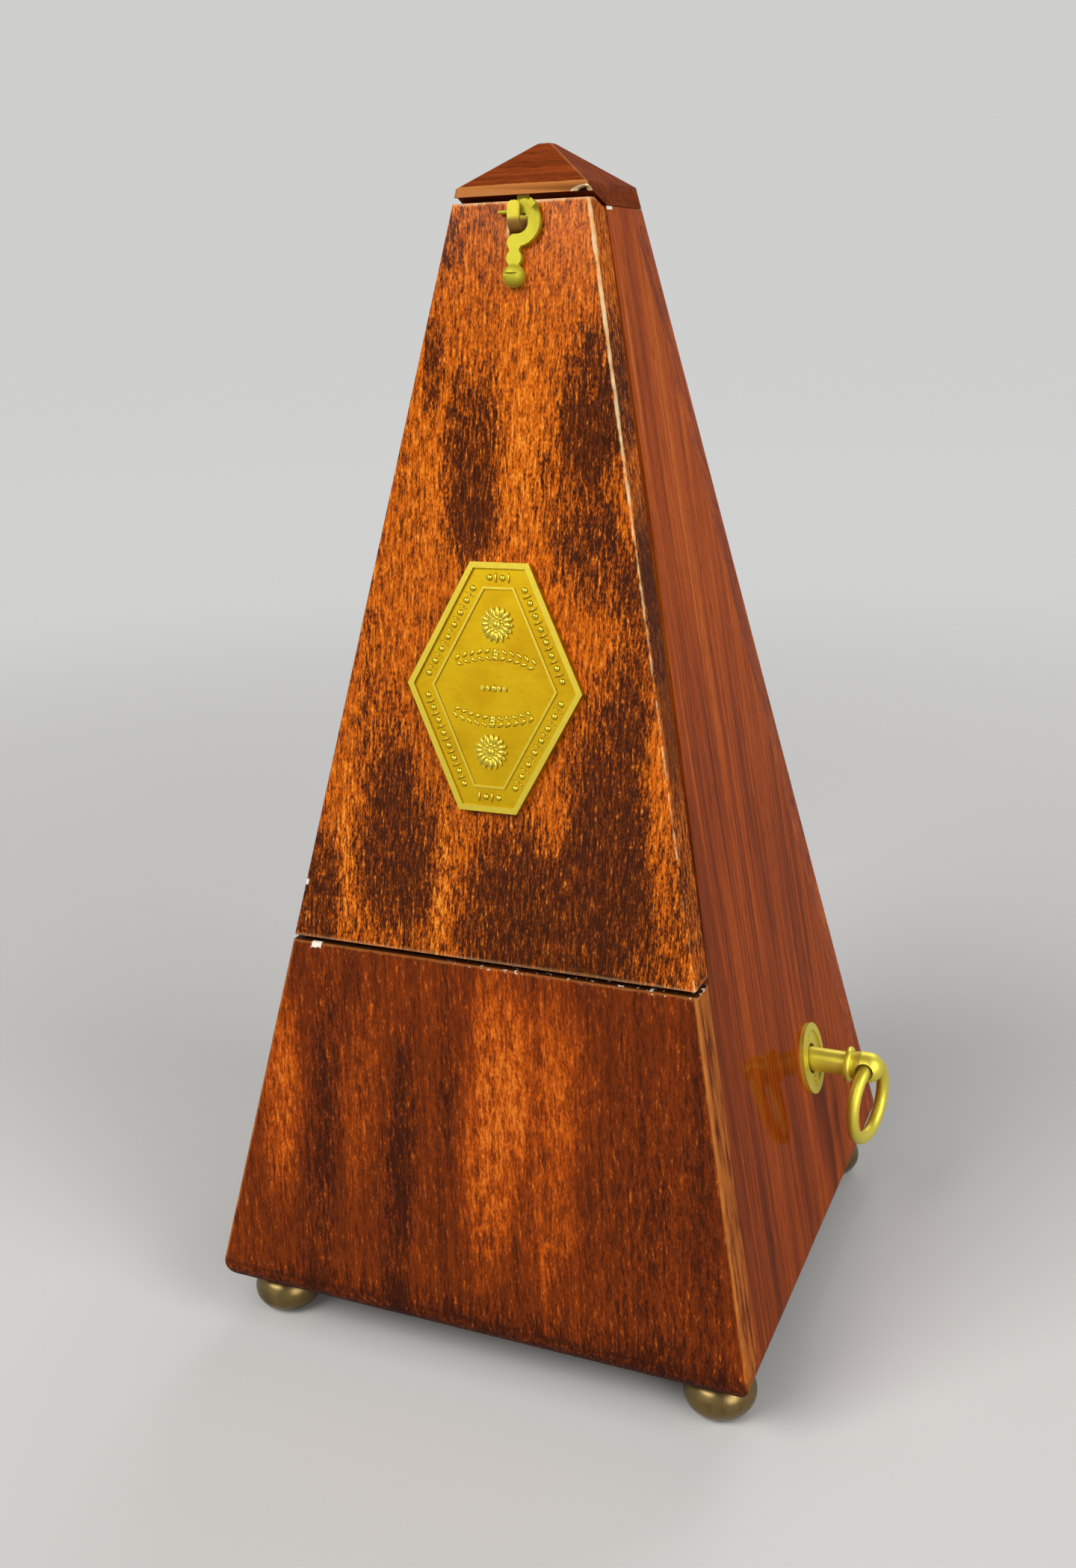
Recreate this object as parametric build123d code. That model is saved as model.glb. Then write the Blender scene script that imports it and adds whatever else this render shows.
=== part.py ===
from build123d import *
from math import acos, atan2, cos, degrees, hypot, pi, radians, sin, sqrt, tan
import os

# Pyramid metronome in millimetres: +Z up, -Y the front, +X the winding side.
# The origin is on the table, under the middle of the base.

# Case
base_w = 113.3
lean = 0.2076
foot_h = 9.3
wall_t = 6.5
corner_r = 0.6
skirt_r = 4.5
panel_rise = 72.55
seam_gap = 1.1
wall_rise = 207.3
board_t = 6.0
board_clear = 0.2
wall_bow = 1.6

# Feet
foot_r = 7.0
foot_edge_r = 4.2
foot_neck_r = 4.6
foot_side_in = 9.4
foot_front_in = 11.6
foot_pin_r = 1.4
foot_pin_len = 4.5

# Battens and bottom screws
batten_w = 8.0
batten_h = 6.0
batten_len = 70.0
wood_screw_r = 1.2
wood_screw_head_r = 2.4
wood_screw_head_h = 1.4
wood_screw_bite = 4.0
bottom_screw_pitch = 50.0

# Front cover
cover_rise = 208.55
cover_depth = 7.0
cover_board_t = 2.5
cover_rail_w = 3.0
cover_foot_rail = 3.0
cover_head_rail = 7.0
cover_gap = 0.5
notch_w = 3.4
notch_h = 6.6

# Plaque
plaque_mid = 126.52
plaque_len = 45.6
plaque_w = 35.0
plaque_end_w = 11.6
plaque_t = 1.2
plaque_rim_w = 1.1
plaque_rim_h = 0.45
plaque_line_in = 4.4
plaque_line_w = 0.45
plaque_line_h = 0.25
rosette_at = 11.6
rosette_r = 3.3
rosette_petals = 16
petal_root_r = 0.45
petal_w = 0.95
petal_h = 0.35
rosette_boss_r = 0.8
flourish_pitch = 1.1
flourish_r = 0.45

# Hook and its screw
hook_up = 199.82
hook_gap = 0.35
hook_t = 1.0
hook_pad_r = 2.0
hook_bead_r = 1.45
hook_bead_up = 3.05
hook_heel_up = 5.75
hook_stem_w = 1.9
hook_bow_x = 0.55
hook_bow_up = 9.15
hook_bow_in = 1.95
hook_bow_out = 4.15
hook_bow_end = 72.0
hook_nose_r = 1.1
hook_tab_w = 1.4
hook_tab_h = 1.3
needle_up = 11.1
needle_tip_x = -3.6
needle_r = 0.75
needle_tip_r = 0.25
hook_screw_r = 0.9
hook_screw_len = 4.0
hook_head_r = 1.95
hook_head_h = 1.5
hook_slot_w = 0.5
hook_slot_h = 0.5
hook_pivot_clear = 0.05

# Lid, catch strip and hinge
lid_gap = 0.12
lid_front_rise = 209.65
lid_rim_rise = 211.15
lid_apex_rise = 218.85
lid_ridge_r = 0.9
lid_tip_w = 2.6
lid_front_flat = 2.0
catch_w = 2.3
catch_t = 0.6
catch_front = 1.95
catch_back = 1.5
catch_drop = 2.85
catch_rise = 2.7
catch_bite = 1.7
catch_tip_r = 0.9
hinge_pin_r = 0.7
hinge_knuckle_r = 1.5
hinge_leaf_t = 0.8
hinge_leaf_h = 5.0
hinge_lid_leaf_h = 2.8
hinge_w = 15.0
hinge_clear = 0.05
hinge_end_gap = 0.3
hinge_screw_r = 0.5
hinge_screw_len = 2.6
hinge_screw_head_r = 0.9
hinge_screw_head_h = 0.3
hinge_screw_spread = 4.8
hinge_screw_drop = 3.5
hinge_screw_lift = 2.2

# Key, ring and escutcheon
key_y = 14.05
key_z = 44.55
stem_r = 2.55
stem_in = 9.3
socket_len = 6.0
collar_at = 8.5
collar_r = 3.75
collar_t = 1.3
knob_r = 3.2
knob_neck_r = 2.75
knob_end = 15.7
ring_at = 12.6
ring_r = 8.1
ring_wire_r = 1.3
ring_turn = 11.0
ring_hole_r = 1.9
ring_lift = 0.33
escutcheon_r = 7.5
escutcheon_t = 0.5
escutcheon_rim_w = 1.6
escutcheon_rim_h = 0.4
keyhole_r = 3.2
escutcheon_pin_at = 4.7
escutcheon_pin_r = 0.4
escutcheon_pin_len = 4.0
escutcheon_head_r = 0.75
escutcheon_head_h = 0.3

# Pendulum
pivot_up = 83.2
arbor_r = 1.2
arbor_front = 3.2
arbor_rear = 13.0
arbor_pivot_r = 0.8
pivot_clear = 0.04
rod_depth = 5.0
rod_t = 1.4
rod_w = 3.0
rod_len = 106.0
rod_hub_r = 3.2
weight_up = 70.0
weight_h = 14.0
weight_top_w = 16.0
weight_foot_w = 12.0
weight_t = 3.6
weight_clear = 0.08
face_depth = 8.5
face_t = 3.0
face_foot_rise = 70.15
face_head_rise = 202.15
scale_t = 0.5
scale_w = 18.0
scale_foot = 16.0
scale_head = 110.0
bush_r = 3.0
bush_lip = 0.4
arm_depth = 13.5
arm_t = 2.0
arm_w = 5.0
arm_hub_r = 3.4
bob_drop = 45.0
bob_r = 9.0
bob_t = 9.0

# Escapement
escape_y = -10.52
escape_teeth = 15
escape_r = 12.0
escape_root_r = 9.0
escape_t = 1.5
escape_clear = 3.2
escape_root_at = 0.5
escape_crossing_r = 2.1
escape_crossings = 4
pallet_angle = 18.0
pallet_t = 0.8
pallet_gap = 0.12
pallet_w = 1.4
pallet_reach = 4.4
cock_t = 3.0
cock_h = 8.0
cock_over = 3.0
cock_screw_gap = 1.0

# Train, along X
plate_t = 2.0
plate_left = -6.0
plate_right = 31.0
plate_front_y = -27.0
plate_back_y = 40.0
plate_flange = 6.8
great_teeth = 72
second_pinion_teeth = 12
great_module = 0.55
second_teeth = 60
escape_pinion_teeth = 10
second_module = 0.45
tooth_share = 0.44
wheel_addendum = 0.6
wheel_dedendum = 1.1
pinion_addendum = 0.9
pinion_dedendum = 0.85
pressure = 20.0
great_x = 11.0
great_t = 2.5
drum_r = 17.5
drum_wall = 1.2
drum_len = 14.5
drum_floor = 1.5
cap_t = 1.0
key_arbor_r = 2.5
key_pivot_r = 1.5
key_square = 3.2
square_clear = 0.05
bore_clear = 0.05
spring_t = 0.7
spring_turns = 6
spring_facets = 24
spring_inner_r = 4.4
spring_edge_gap = 0.8
spring_wall_gap = 0.2
second_pinion_x = 10.0
second_pinion_w = 5.0
second_wheel_x = 5.0
second_wheel_t = 1.5
second_arbor_r = 1.2
escape_pinion_x = 3.4
escape_pinion_w = 4.8
escape_arbor_r = 1.0
train_pivot_r = 0.7
crossing_r = 3.0
crossings = 5
pillar_r = 2.0
pillar_screw_r = 0.9
pillar_screw_bite = 6.0
pillar_head_r = 2.2
pillar_head_h = 1.4
plate_brow = 9.0
plate_shoulder = 3.0
plate_chin = 4.0
plate_taper = 4.0
pillar_low = 8.0
pillar_low_front = 6.0
pillar_low_back = 4.0
pillar_high_front = 3.5
pillar_high_back = 10.0
pillar_front_drop = 10.2
pillar_back_drop = 4.0
plate_screw_in = 8.0
lap = 0.1

# Ratchet and click
ratchet_teeth = 24
ratchet_r = 8.0
ratchet_root_r = 6.6
ratchet_t = 2.0
ratchet_gap = 1.2
ratchet_root_at = 0.3
ratchet_shift = 0.24
click_arm = 12.5
click_bearing = 150.0
click_nose = 100.0
click_clear = 0.6
click_t = 1.6
click_hub_r = 2.2
click_heel = 1.3
click_nose_w = 0.5
click_beak = 2.0
click_lift = 0.8
click_arm_w = 1.2
click_pivot_r = 1.1
click_spring_t = 0.4
click_spring_gap = 1.9
click_stud_r = 1.2

os.makedirs("parts", exist_ok=True)

# Derived places
secant = sqrt(1 + lean * lean)
base_half = base_w / 2
panel_top = foot_h + panel_rise
cover_foot = panel_top + seam_gap
cover_top = foot_h + cover_rise
wall_top = foot_h + wall_rise
rim_top = foot_h + lid_rim_rise
lid_front = foot_h + lid_front_rise
lid_apex = foot_h + lid_apex_rise
floor_top = foot_h + board_t
escape_up = pivot_up - escape_r - escape_clear
escape_depth = (escape_y + base_half) * secant - escape_up * lean
arbor_back = escape_depth + arbor_rear
front_face = Plane(
    origin=(0, -base_half, foot_h),
    x_dir=(1, 0, 0),
    z_dir=(0, -1, lean),
).location


def half_at(z):
    return base_half - lean * (z - foot_h)


def frustum(inset, z0, z1):
    low = 2 * (half_at(z0) - inset * secant)
    high = 2 * (half_at(z1) - inset * secant)
    return loft([Pos(0, 0, z0) * Rectangle(low, low), Pos(0, 0, z1) * Rectangle(high, high)])


def layer(z0, z1, reach=400.0):
    return Pos(0, 0, (z0 + z1) / 2) * Box(reach, reach, z1 - z0)


def slab(x0, x1, up0, up1, depth0, depth1):
    middle = Pos((x0 + x1) / 2, (up0 + up1) / 2, -(depth0 + depth1) / 2)
    return front_face * middle * Box(x1 - x0, up1 - up0, depth1 - depth0)


def front_depths(depth0, depth1):
    return slab(-200, 200, -200, 400, depth0, depth1)


def drum_in(depth0, depth1, radius, x, up):
    return front_face * Pos(x, up, -(depth0 + depth1) / 2) * Cylinder(radius, depth1 - depth0)


def front_prism(sketch, depth0, depth1):
    return front_face * Pos(0, 0, -depth1) * extrude(sketch, depth1 - depth0)


def on_x(x, axle):
    return Pos(x, axle[0], axle[1]) * Rot(0, 90, 0)


def bar_x(x0, x1, radius, axle):
    return on_x((x0 + x1) / 2, axle) * Cylinder(radius, x1 - x0)


def front_point(up, depth):
    y = -base_half + (up * lean + depth) / secant
    z = foot_h + (up - depth * lean) / secant
    return y, z


def bearing(start, end):
    return atan2(end[0] - start[0], start[1] - end[1])


def polar(radius, angle):
    return radius * cos(angle), radius * sin(angle)


def gear(teeth, module, addendum, dedendum, width, bore, phase):
    pitch_r = teeth * module / 2
    base_r = pitch_r * cos(radians(pressure))
    root_r = pitch_r - dedendum * module
    tip_r = pitch_r + addendum * module
    slope = radians(pressure)
    pitch_share = tooth_share * pi / teeth + tan(slope) - slope
    flank = []
    for step in range(5):
        radius = root_r + (tip_r - root_r) * step / 4
        roll = acos(min(1.0, base_r / radius))
        flank.append((radius, pitch_share - tan(roll) + roll))
    points = []
    for tooth in range(teeth):
        middle = phase + 2 * pi * tooth / teeth
        points += [polar(radius, middle - share) for radius, share in flank]
        points += [polar(radius, middle + share) for radius, share in reversed(flank)]
    blank = make_face(Polyline(*points, close=True))
    if bore > 0:
        blank -= Circle(bore)
    return extrude(blank, width)


def toothed(teeth, tip_r, root_r, root_at, phase):
    points = []
    for tooth in range(teeth):
        start = phase + 2 * pi * tooth / teeth
        points.append(polar(tip_r, start))
        points.append(polar(root_r, start + 2 * pi * root_at / teeth))
    return make_face(Polyline(*points, close=True))


def save(node, shape):
    shape.label = node
    export_step(shape, "parts/" + node + ".step")


def group(solids):
    return Compound(children=list(solids))


# Outer form with its rounded corners and skirt
outer = frustum(0, foot_h, rim_top)
outer = fillet(outer.edges().group_by(Axis.Z)[0], skirt_r)
outer = fillet([e for e in outer.edges() if abs(e.tangent_at(0.5).Z) > 0.5], corner_r)
inner = frustum(wall_t, foot_h - 1, rim_top)
shell = (outer - inner) & layer(foot_h, wall_top)

# Winding axle, seen from the right face
key_axle = (key_y, key_z)
face_x = half_at(key_z)
keyhole = bar_x(face_x - 3 * wall_t, face_x + 3 * wall_t, keyhole_r, key_axle)

# Case walls: the back board and the lower panel are laid across the edges of the sides
cover_zone = front_depths(-50, cover_depth + cover_gap) & layer(panel_top, rim_top + 50)
panel_zone = front_depths(-50, wall_t) & layer(foot_h - 1, panel_top)
back_zone = Rot(0, 0, 180) * front_depths(-50, wall_t)
bow_span = (cover_top - cover_foot) * secant
bow_r = (bow_span / 2) ** 2 / (2 * wall_bow) + wall_bow / 2
bow_up = ((cover_top + cover_foot) / 2 - foot_h) * secant
bow_depth = cover_depth + cover_gap + wall_bow - bow_r
bow_axle = front_point(bow_up, bow_depth)
bow_zone = bar_x(-base_w, base_w, bow_r, bow_axle) & layer(panel_top, wall_top + 1)
right_half = Pos(base_w, 0, 0) * Box(2 * base_w, 4 * base_w, 4 * base_w)
left_half = Rot(0, 0, 180) * right_half
side_blank = shell - cover_zone - bow_zone - panel_zone - back_zone
wall_right = (side_blank & right_half) - keyhole
wall_left = side_blank & left_half
wall_back = outer & back_zone & layer(foot_h, wall_top)
panel_front = outer & front_depths(0, wall_t) & layer(foot_h, panel_top)

# Bottom board, battens and screws
bottom_board = frustum(wall_t + board_clear, foot_h, floor_top)
foot_x = base_half - foot_side_in
foot_y = base_half - foot_front_in
foot_places = [(sx * foot_x, sy * foot_y) for sx in (-1, 1) for sy in (-1, 1)]
batten_top = floor_top + batten_h
batten_mid = half_at(floor_top) - wall_t * secant - batten_w / 2
screw_places = [
    (sx * batten_mid, sy * bottom_screw_pitch / 2) for sx in (-1, 1) for sy in (-1, 1)
]
screw_top = floor_top + wood_screw_bite
bottom_screws = []
for x, y in screw_places:
    shank = Pos(x, y, (foot_h + screw_top) / 2) * Cylinder(wood_screw_r, screw_top - foot_h)
    head = Pos(x, y, foot_h + wood_screw_head_h / 2) * Cone(
        wood_screw_head_r, wood_screw_r, wood_screw_head_h
    )
    bottom_screws.append(shank + head)
for screw in bottom_screws:
    bottom_board -= screw
batten_zone = frustum(wall_t, floor_top, batten_top) & Pos(0, 0, batten_top) * Box(
    2 * base_w, batten_len, 4 * batten_h
)
batten_inner = 2 * (batten_mid - batten_w / 2)
batten_zone -= Pos(0, 0, batten_top) * Box(batten_inner, base_w, 4 * batten_h)
for screw in bottom_screws:
    batten_zone -= screw
batten_left, batten_right = batten_zone.solids().sort_by(Axis.X)


def foot_at_place(x, y):
    flat_r = foot_r - foot_edge_r
    shoulder = foot_edge_r + sqrt(foot_edge_r**2 - (foot_neck_r - flat_r) ** 2)
    edge = ThreePointArc((flat_r, 0), (foot_r, foot_edge_r), (foot_neck_r, shoulder))
    rest = Polyline((foot_neck_r, shoulder), (foot_neck_r, foot_h), (0, foot_h), (0, 0), (flat_r, 0))
    bun = revolve(Plane.XZ * make_face(edge + rest), Axis.Z)
    pin = Pos(0, 0, foot_h + foot_pin_len / 2) * Cylinder(foot_pin_r, foot_pin_len)
    return Pos(x, y, 0) * (bun + pin)


feet = [foot_at_place(x, y) for x, y in foot_places]
for x, y in foot_places:
    pin_hole = Pos(x, y, foot_h + foot_pin_len / 2) * Cylinder(foot_pin_r, foot_pin_len)
    bottom_board -= pin_hole

# Face board, bush and tempo scale
face_zone = front_depths(face_depth, face_depth + face_t)
face_span = layer(foot_h + face_foot_rise, foot_h + face_head_rise)
bush_hole = drum_in(face_depth - 5, face_depth + 10, bush_r, 0, pivot_up)
face_board = (frustum(wall_t, foot_h, rim_top) & face_zone & face_span) - bush_hole
bush_back = face_depth + face_t + bush_lip
bush_front = face_depth - bush_lip
bush = drum_in(bush_front, bush_back, bush_r, 0, pivot_up)
bush -= drum_in(bush_front - 1, bush_back + 1, arbor_r + pivot_clear, 0, pivot_up)
scale_plate = slab(
    -scale_w / 2,
    scale_w / 2,
    pivot_up + scale_foot,
    pivot_up + scale_head,
    face_depth - scale_t,
    face_depth,
)

# Front cover: a board with rails behind its edges, its top sloped like the lid above it


def under_slope(drop, foot):
    front_y = -half_at(lid_front)
    back_y = front_y + (cover_depth + cover_gap) * secant
    outline = Polyline(
        (front_y - base_w, foot),
        (front_y - base_w, lid_front - drop),
        (front_y + lid_front_flat, lid_front - drop),
        (back_y, wall_top + lid_gap - drop),
        (back_y, foot),
        close=True,
    )
    return Plane.YZ * Pos(0, 0, -base_half) * extrude(make_face(outline), base_w)


cover = outer & front_depths(0, cover_depth) & layer(cover_foot, cover_top)
recess = frustum(cover_rail_w, foot_h, rim_top) & front_depths(cover_board_t, cover_depth + 1)
recess &= layer(cover_foot + cover_foot_rail, cover_top - cover_head_rail)
notch = Pos(0, -half_at(cover_top), cover_top) * Box(notch_w, 4 * cover_depth, 2 * notch_h)
hook_screw_hole = drum_in(-1, hook_screw_len - hook_gap, hook_screw_r, 0, hook_up)
cover = cover - recess - notch - hook_screw_hole
cover &= under_slope(lid_front - cover_top, cover_foot)

# Hexagonal plaque with a raised rim, an inner line and two rosettes


def hexagon(inset):
    run = (plaque_w - plaque_end_w) / 2
    rise = plaque_len / 2
    side = hypot(run, rise)
    end_half = plaque_end_w / 2 - inset * (side - run) / rise
    waist_half = plaque_w / 2 - inset * side / rise
    tall = rise - inset
    return make_face(
        Polyline(
            (end_half, tall),
            (waist_half, 0),
            (end_half, -tall),
            (-end_half, -tall),
            (-waist_half, 0),
            (-end_half, tall),
            close=True,
        )
    )


def petal_ring(at):
    long_half = (rosette_r - petal_root_r) / 2
    centre = petal_root_r + long_half
    petals = PolarLocations(centre, rosette_petals)
    leaves = [spot * Ellipse(long_half, petal_w / 2) for spot in petals]
    lift = plaque_t + petal_h
    ring = [Pos(0, at, 0) * extrude(leaf, lift) for leaf in leaves]
    boss = Pos(0, at, 0) * extrude(Circle(rosette_boss_r), lift + petal_h / 2)
    return ring + [boss]


plaque = extrude(hexagon(0), plaque_t + plaque_rim_h)
sunk = extrude(hexagon(plaque_rim_w), plaque_rim_h)
plaque -= Pos(0, 0, plaque_t) * sunk
line_outer = extrude(hexagon(plaque_line_in), plaque_t + plaque_line_h)
line_inner = extrude(hexagon(plaque_line_in + plaque_line_w), plaque_t + plaque_line_h)
plaque += line_outer - line_inner
for leaf in petal_ring(rosette_at) + petal_ring(-rosette_at):
    plaque += leaf
for place in range(-2, 3):
    bead = extrude(Circle(flourish_r), plaque_t + petal_h)
    plaque += Pos(place * flourish_pitch, 0, 0) * bead
plaque = front_face * Pos(0, plaque_mid, 0) * plaque

# Hook with its needle, and its screw
bow_centre = Pos(hook_bow_x, hook_bow_up)
bow_ring = bow_centre * (Circle(hook_bow_out) - Circle(hook_bow_in))
bow_end = radians(hook_bow_end)
fan = 3 * hook_bow_out
bow_fan = bow_centre * make_face(
    Polyline((0, 0), (0, -fan), (fan, -fan), (fan, fan), polar(fan, bow_end), close=True)
)
nose_arm = (hook_bow_in + hook_bow_out) / 2
nose_x, nose_up = polar(nose_arm, bow_end)
nose_x += hook_bow_x
nose_up += hook_bow_up
hook_flat = Circle(hook_pad_r)
hook_flat += Pos(0, hook_bead_up) * Circle(hook_bead_r)
hook_flat += Pos(0, hook_heel_up) * Circle(hook_bead_r)
hook_flat += Pos(0, hook_heel_up / 2) * Rectangle(hook_stem_w, hook_heel_up)
hook_flat += bow_ring & bow_fan
hook_flat += Pos(nose_x, nose_up) * Circle(hook_nose_r)
hook_flat -= Circle(hook_screw_r + hook_pivot_clear)
hook = extrude(hook_flat, hook_t)
needle_mid_x = (nose_x + needle_tip_x) / 2
needle_len = nose_x - needle_tip_x
needle = Pos(needle_mid_x, needle_up, hook_t / 2) * Rot(0, -90, 0)
hook += needle * Cone(needle_r, needle_tip_r, needle_len)
tab_x, tab_up = polar(hook_bow_out, radians(45))
tab = Pos(hook_bow_x + tab_x, hook_bow_up + tab_up, (hook_t + hook_tab_h) / 2)
hook += tab * Rot(0, 0, 45) * Box(hook_t, hook_tab_w, hook_t + hook_tab_h)
hook = front_face * Pos(0, hook_up, hook_gap) * hook
head_low = hook_gap + hook_t + hook_pivot_clear
dome_r = (hook_head_r**2 + hook_head_h**2) / (2 * hook_head_h)
head = Pos(0, 0, head_low + hook_head_h - dome_r) * Sphere(dome_r)
head &= Pos(0, 0, head_low + hook_head_h) * Box(4 * dome_r, 4 * dome_r, 2 * hook_head_h)
slot_mid = head_low + hook_head_h
head -= Pos(0, 0, slot_mid) * Box(3 * hook_head_r, hook_slot_w, 2 * hook_slot_h)
shank_low = hook_gap - hook_screw_len
shank = Pos(0, 0, (shank_low + head_low) / 2) * Cylinder(hook_screw_r, head_low - shank_low)
hook_screw = front_face * Pos(0, hook_up, 0) * (head + shank)

# Lid cap with the sloped rebate over the cover
lid_foot = wall_top + lid_gap
lid = outer & layer(lid_foot, rim_top)
cap_w = 2 * half_at(rim_top)
peak = loft(
    [
        Pos(0, 0, rim_top) * Rectangle(cap_w, cap_w),
        Pos(0, 0, lid_apex) * Rectangle(lid_tip_w, lid_tip_w),
    ]
)
peak = fillet([e for e in peak.edges() if e.center().Z > rim_top + 0.1], lid_ridge_r)
corner_cut = outer & layer(rim_top - 0.5, rim_top)
corner_post = extrude(corner_cut.faces().sort_by(Axis.Z)[-1], lid_apex - rim_top)
lid += peak & corner_post
lid -= under_slope(0, wall_top)

# Catch strip: down the notch, round under the needle and up in front of it
bend_in = (catch_front + catch_back) / 2
bend_depth = (catch_back - catch_front) / 2
bend_up = hook_up + needle_up - catch_drop + bend_in
lid_up = (lid_front - foot_h) * secant
half_strip = catch_w / 2
curl = Circle(bend_in + catch_t) - Circle(bend_in)
curl &= Pos(0, -2 * bend_in) * Rectangle(8 * bend_in, 4 * bend_in)
front_leg = Pos(bend_in + catch_t / 2, catch_rise / 2) * Rectangle(catch_t, catch_rise)
back_rise = lid_up + catch_bite - bend_up
back_leg = Pos(-bend_in - catch_t / 2, back_rise / 2) * Rectangle(catch_t, back_rise)
profile = curl + front_leg + back_leg
strip = Pos(0, 0, -half_strip) * extrude(profile, catch_w)
tip = [e for e in strip.edges() if abs(e.center().Y - catch_rise) < lap and abs(e.tangent_at(0).X) > 0.9]
strip = fillet(tip, catch_tip_r)
catch_strip = front_face * Pos(0, bend_up, -bend_depth) * Rot(0, -90, 0) * strip
lid -= catch_strip

# Lid hinge at the back edge
hinge_y = half_at(wall_top) + hinge_knuckle_r
hinge_axle = (hinge_y, wall_top)
back_slant = Pos(0, half_at(wall_top), wall_top) * Rot(degrees(atan2(lean, 1)), 0, 0)
low_leaf = back_slant * Pos(0, hinge_leaf_t / 2, -hinge_leaf_h / 2) * Box(
    hinge_w, hinge_leaf_t, hinge_leaf_h
)
high_leaf = back_slant * Pos(0, hinge_leaf_t / 2, hinge_lid_leaf_h / 2 + lid_gap) * Box(
    hinge_w, hinge_leaf_t, hinge_lid_leaf_h
)
knuckle_len = hinge_w / 3
knuckle_bore = bar_x(-hinge_w, hinge_w, hinge_pin_r + hinge_clear, hinge_axle)
pin_bore = bar_x(-hinge_w, hinge_w, hinge_pin_r, hinge_axle)
relief_r = hinge_knuckle_r + hinge_end_gap
middle_end = knuckle_len / 2
side_end = middle_end + hinge_end_gap
middle = bar_x(-middle_end, middle_end, hinge_knuckle_r, hinge_axle)
middle_relief = bar_x(-side_end, side_end, relief_r, hinge_axle)
sides = bar_x(-hinge_w / 2, -side_end, hinge_knuckle_r, hinge_axle)
sides += bar_x(side_end, hinge_w / 2, hinge_knuckle_r, hinge_axle)
side_relief = bar_x(-hinge_w, -middle_end, relief_r, hinge_axle)
side_relief += bar_x(middle_end, hinge_w, relief_r, hinge_axle)
hinge_case = (low_leaf - middle_relief + sides) - pin_bore
hinge_lid = (high_leaf - side_relief + middle) - knuckle_bore
hinge_pin = bar_x(-hinge_w / 2, hinge_w / 2, hinge_pin_r, hinge_axle)


def leaf_screw(x, along):
    seat = back_slant * Pos(x, hinge_leaf_t, along) * Rot(90, 0, 0)
    shank = Pos(0, 0, hinge_screw_len / 2) * Cylinder(hinge_screw_r, hinge_screw_len)
    head = Pos(0, 0, -hinge_screw_head_h / 2) * Cylinder(hinge_screw_head_r, hinge_screw_head_h)
    return seat * (shank + head)


case_leaf_screws = [leaf_screw(sx * hinge_screw_spread, -hinge_screw_drop) for sx in (-1, 1)]
lid_leaf_screws = [leaf_screw(0, hinge_screw_lift)]
knuckle_end = hinge_w / 2 + hinge_end_gap
knuckle_bed = bar_x(-knuckle_end, knuckle_end, relief_r, hinge_axle)
wall_back -= knuckle_bed
lid -= knuckle_bed
for screw in case_leaf_screws:
    hinge_case -= screw
    wall_back -= screw
for screw in lid_leaf_screws:
    hinge_lid -= screw
    lid -= screw

# Escutcheon on the sloped right face, with its two pins
right_face = Plane(origin=(face_x, key_y, key_z), x_dir=(0, 1, 0), z_dir=(1, 0, lean)).location
escutcheon = extrude(Circle(escutcheon_r), escutcheon_t)
rim = Circle(escutcheon_r) - Circle(escutcheon_r - escutcheon_rim_w)
escutcheon += extrude(rim, escutcheon_t + escutcheon_rim_h)
escutcheon = right_face * escutcheon - keyhole


def escutcheon_pin(side):
    seat = right_face * Pos(0, side * escutcheon_pin_at, escutcheon_t)
    head = Pos(0, 0, escutcheon_head_h / 2) * Cylinder(escutcheon_head_r, escutcheon_head_h)
    pin = Pos(0, 0, -escutcheon_pin_len / 2) * Cylinder(escutcheon_pin_r, escutcheon_pin_len)
    return seat * (head + pin)


escutcheon_pins = [escutcheon_pin(-1), escutcheon_pin(1)]
for pin in escutcheon_pins:
    escutcheon -= pin
    wall_right -= pin

# Key: stem, collar and domed knob turned in one piece
collar_0 = collar_at - collar_t / 2
collar_1 = collar_at + collar_t / 2
knob_0 = ring_at - knob_r / 2
dome_0 = knob_end - knob_r
stem = Polyline((-stem_in, 0), (-stem_in, stem_r), (collar_0, stem_r))
collar = ThreePointArc((collar_0, stem_r), (collar_at, collar_r), (collar_1, knob_neck_r))
neck = Polyline((collar_1, knob_neck_r), (knob_0, knob_r), (dome_0, knob_r))
dome = ThreePointArc(
    (dome_0, knob_r),
    (dome_0 + knob_r * sin(pi / 4), knob_r * cos(pi / 4)),
    (knob_end, 0),
)
closing = Polyline((knob_end, 0), (-stem_in, 0))
key = revolve(make_face(stem + collar + neck + dome + closing), Axis.X)
square_hole = key_square + 2 * square_clear
key -= Pos(socket_len / 2 - stem_in, 0, 0) * Box(socket_len, square_hole, square_hole)
ring_hole = Pos(ring_at, 0, 0) * Rot(0, 0, -ring_turn) * Rot(90, 0, 0)
key -= ring_hole * Cylinder(ring_hole_r, 4 * knob_r)
key = Pos(face_x, key_y, key_z) * key
ring_spot = Pos(face_x + ring_at, key_y, key_z + ring_lift - ring_r)
key_ring = ring_spot * Rot(0, 0, -ring_turn) * Rot(0, 90, 0) * Torus(ring_r, ring_wire_r)

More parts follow.
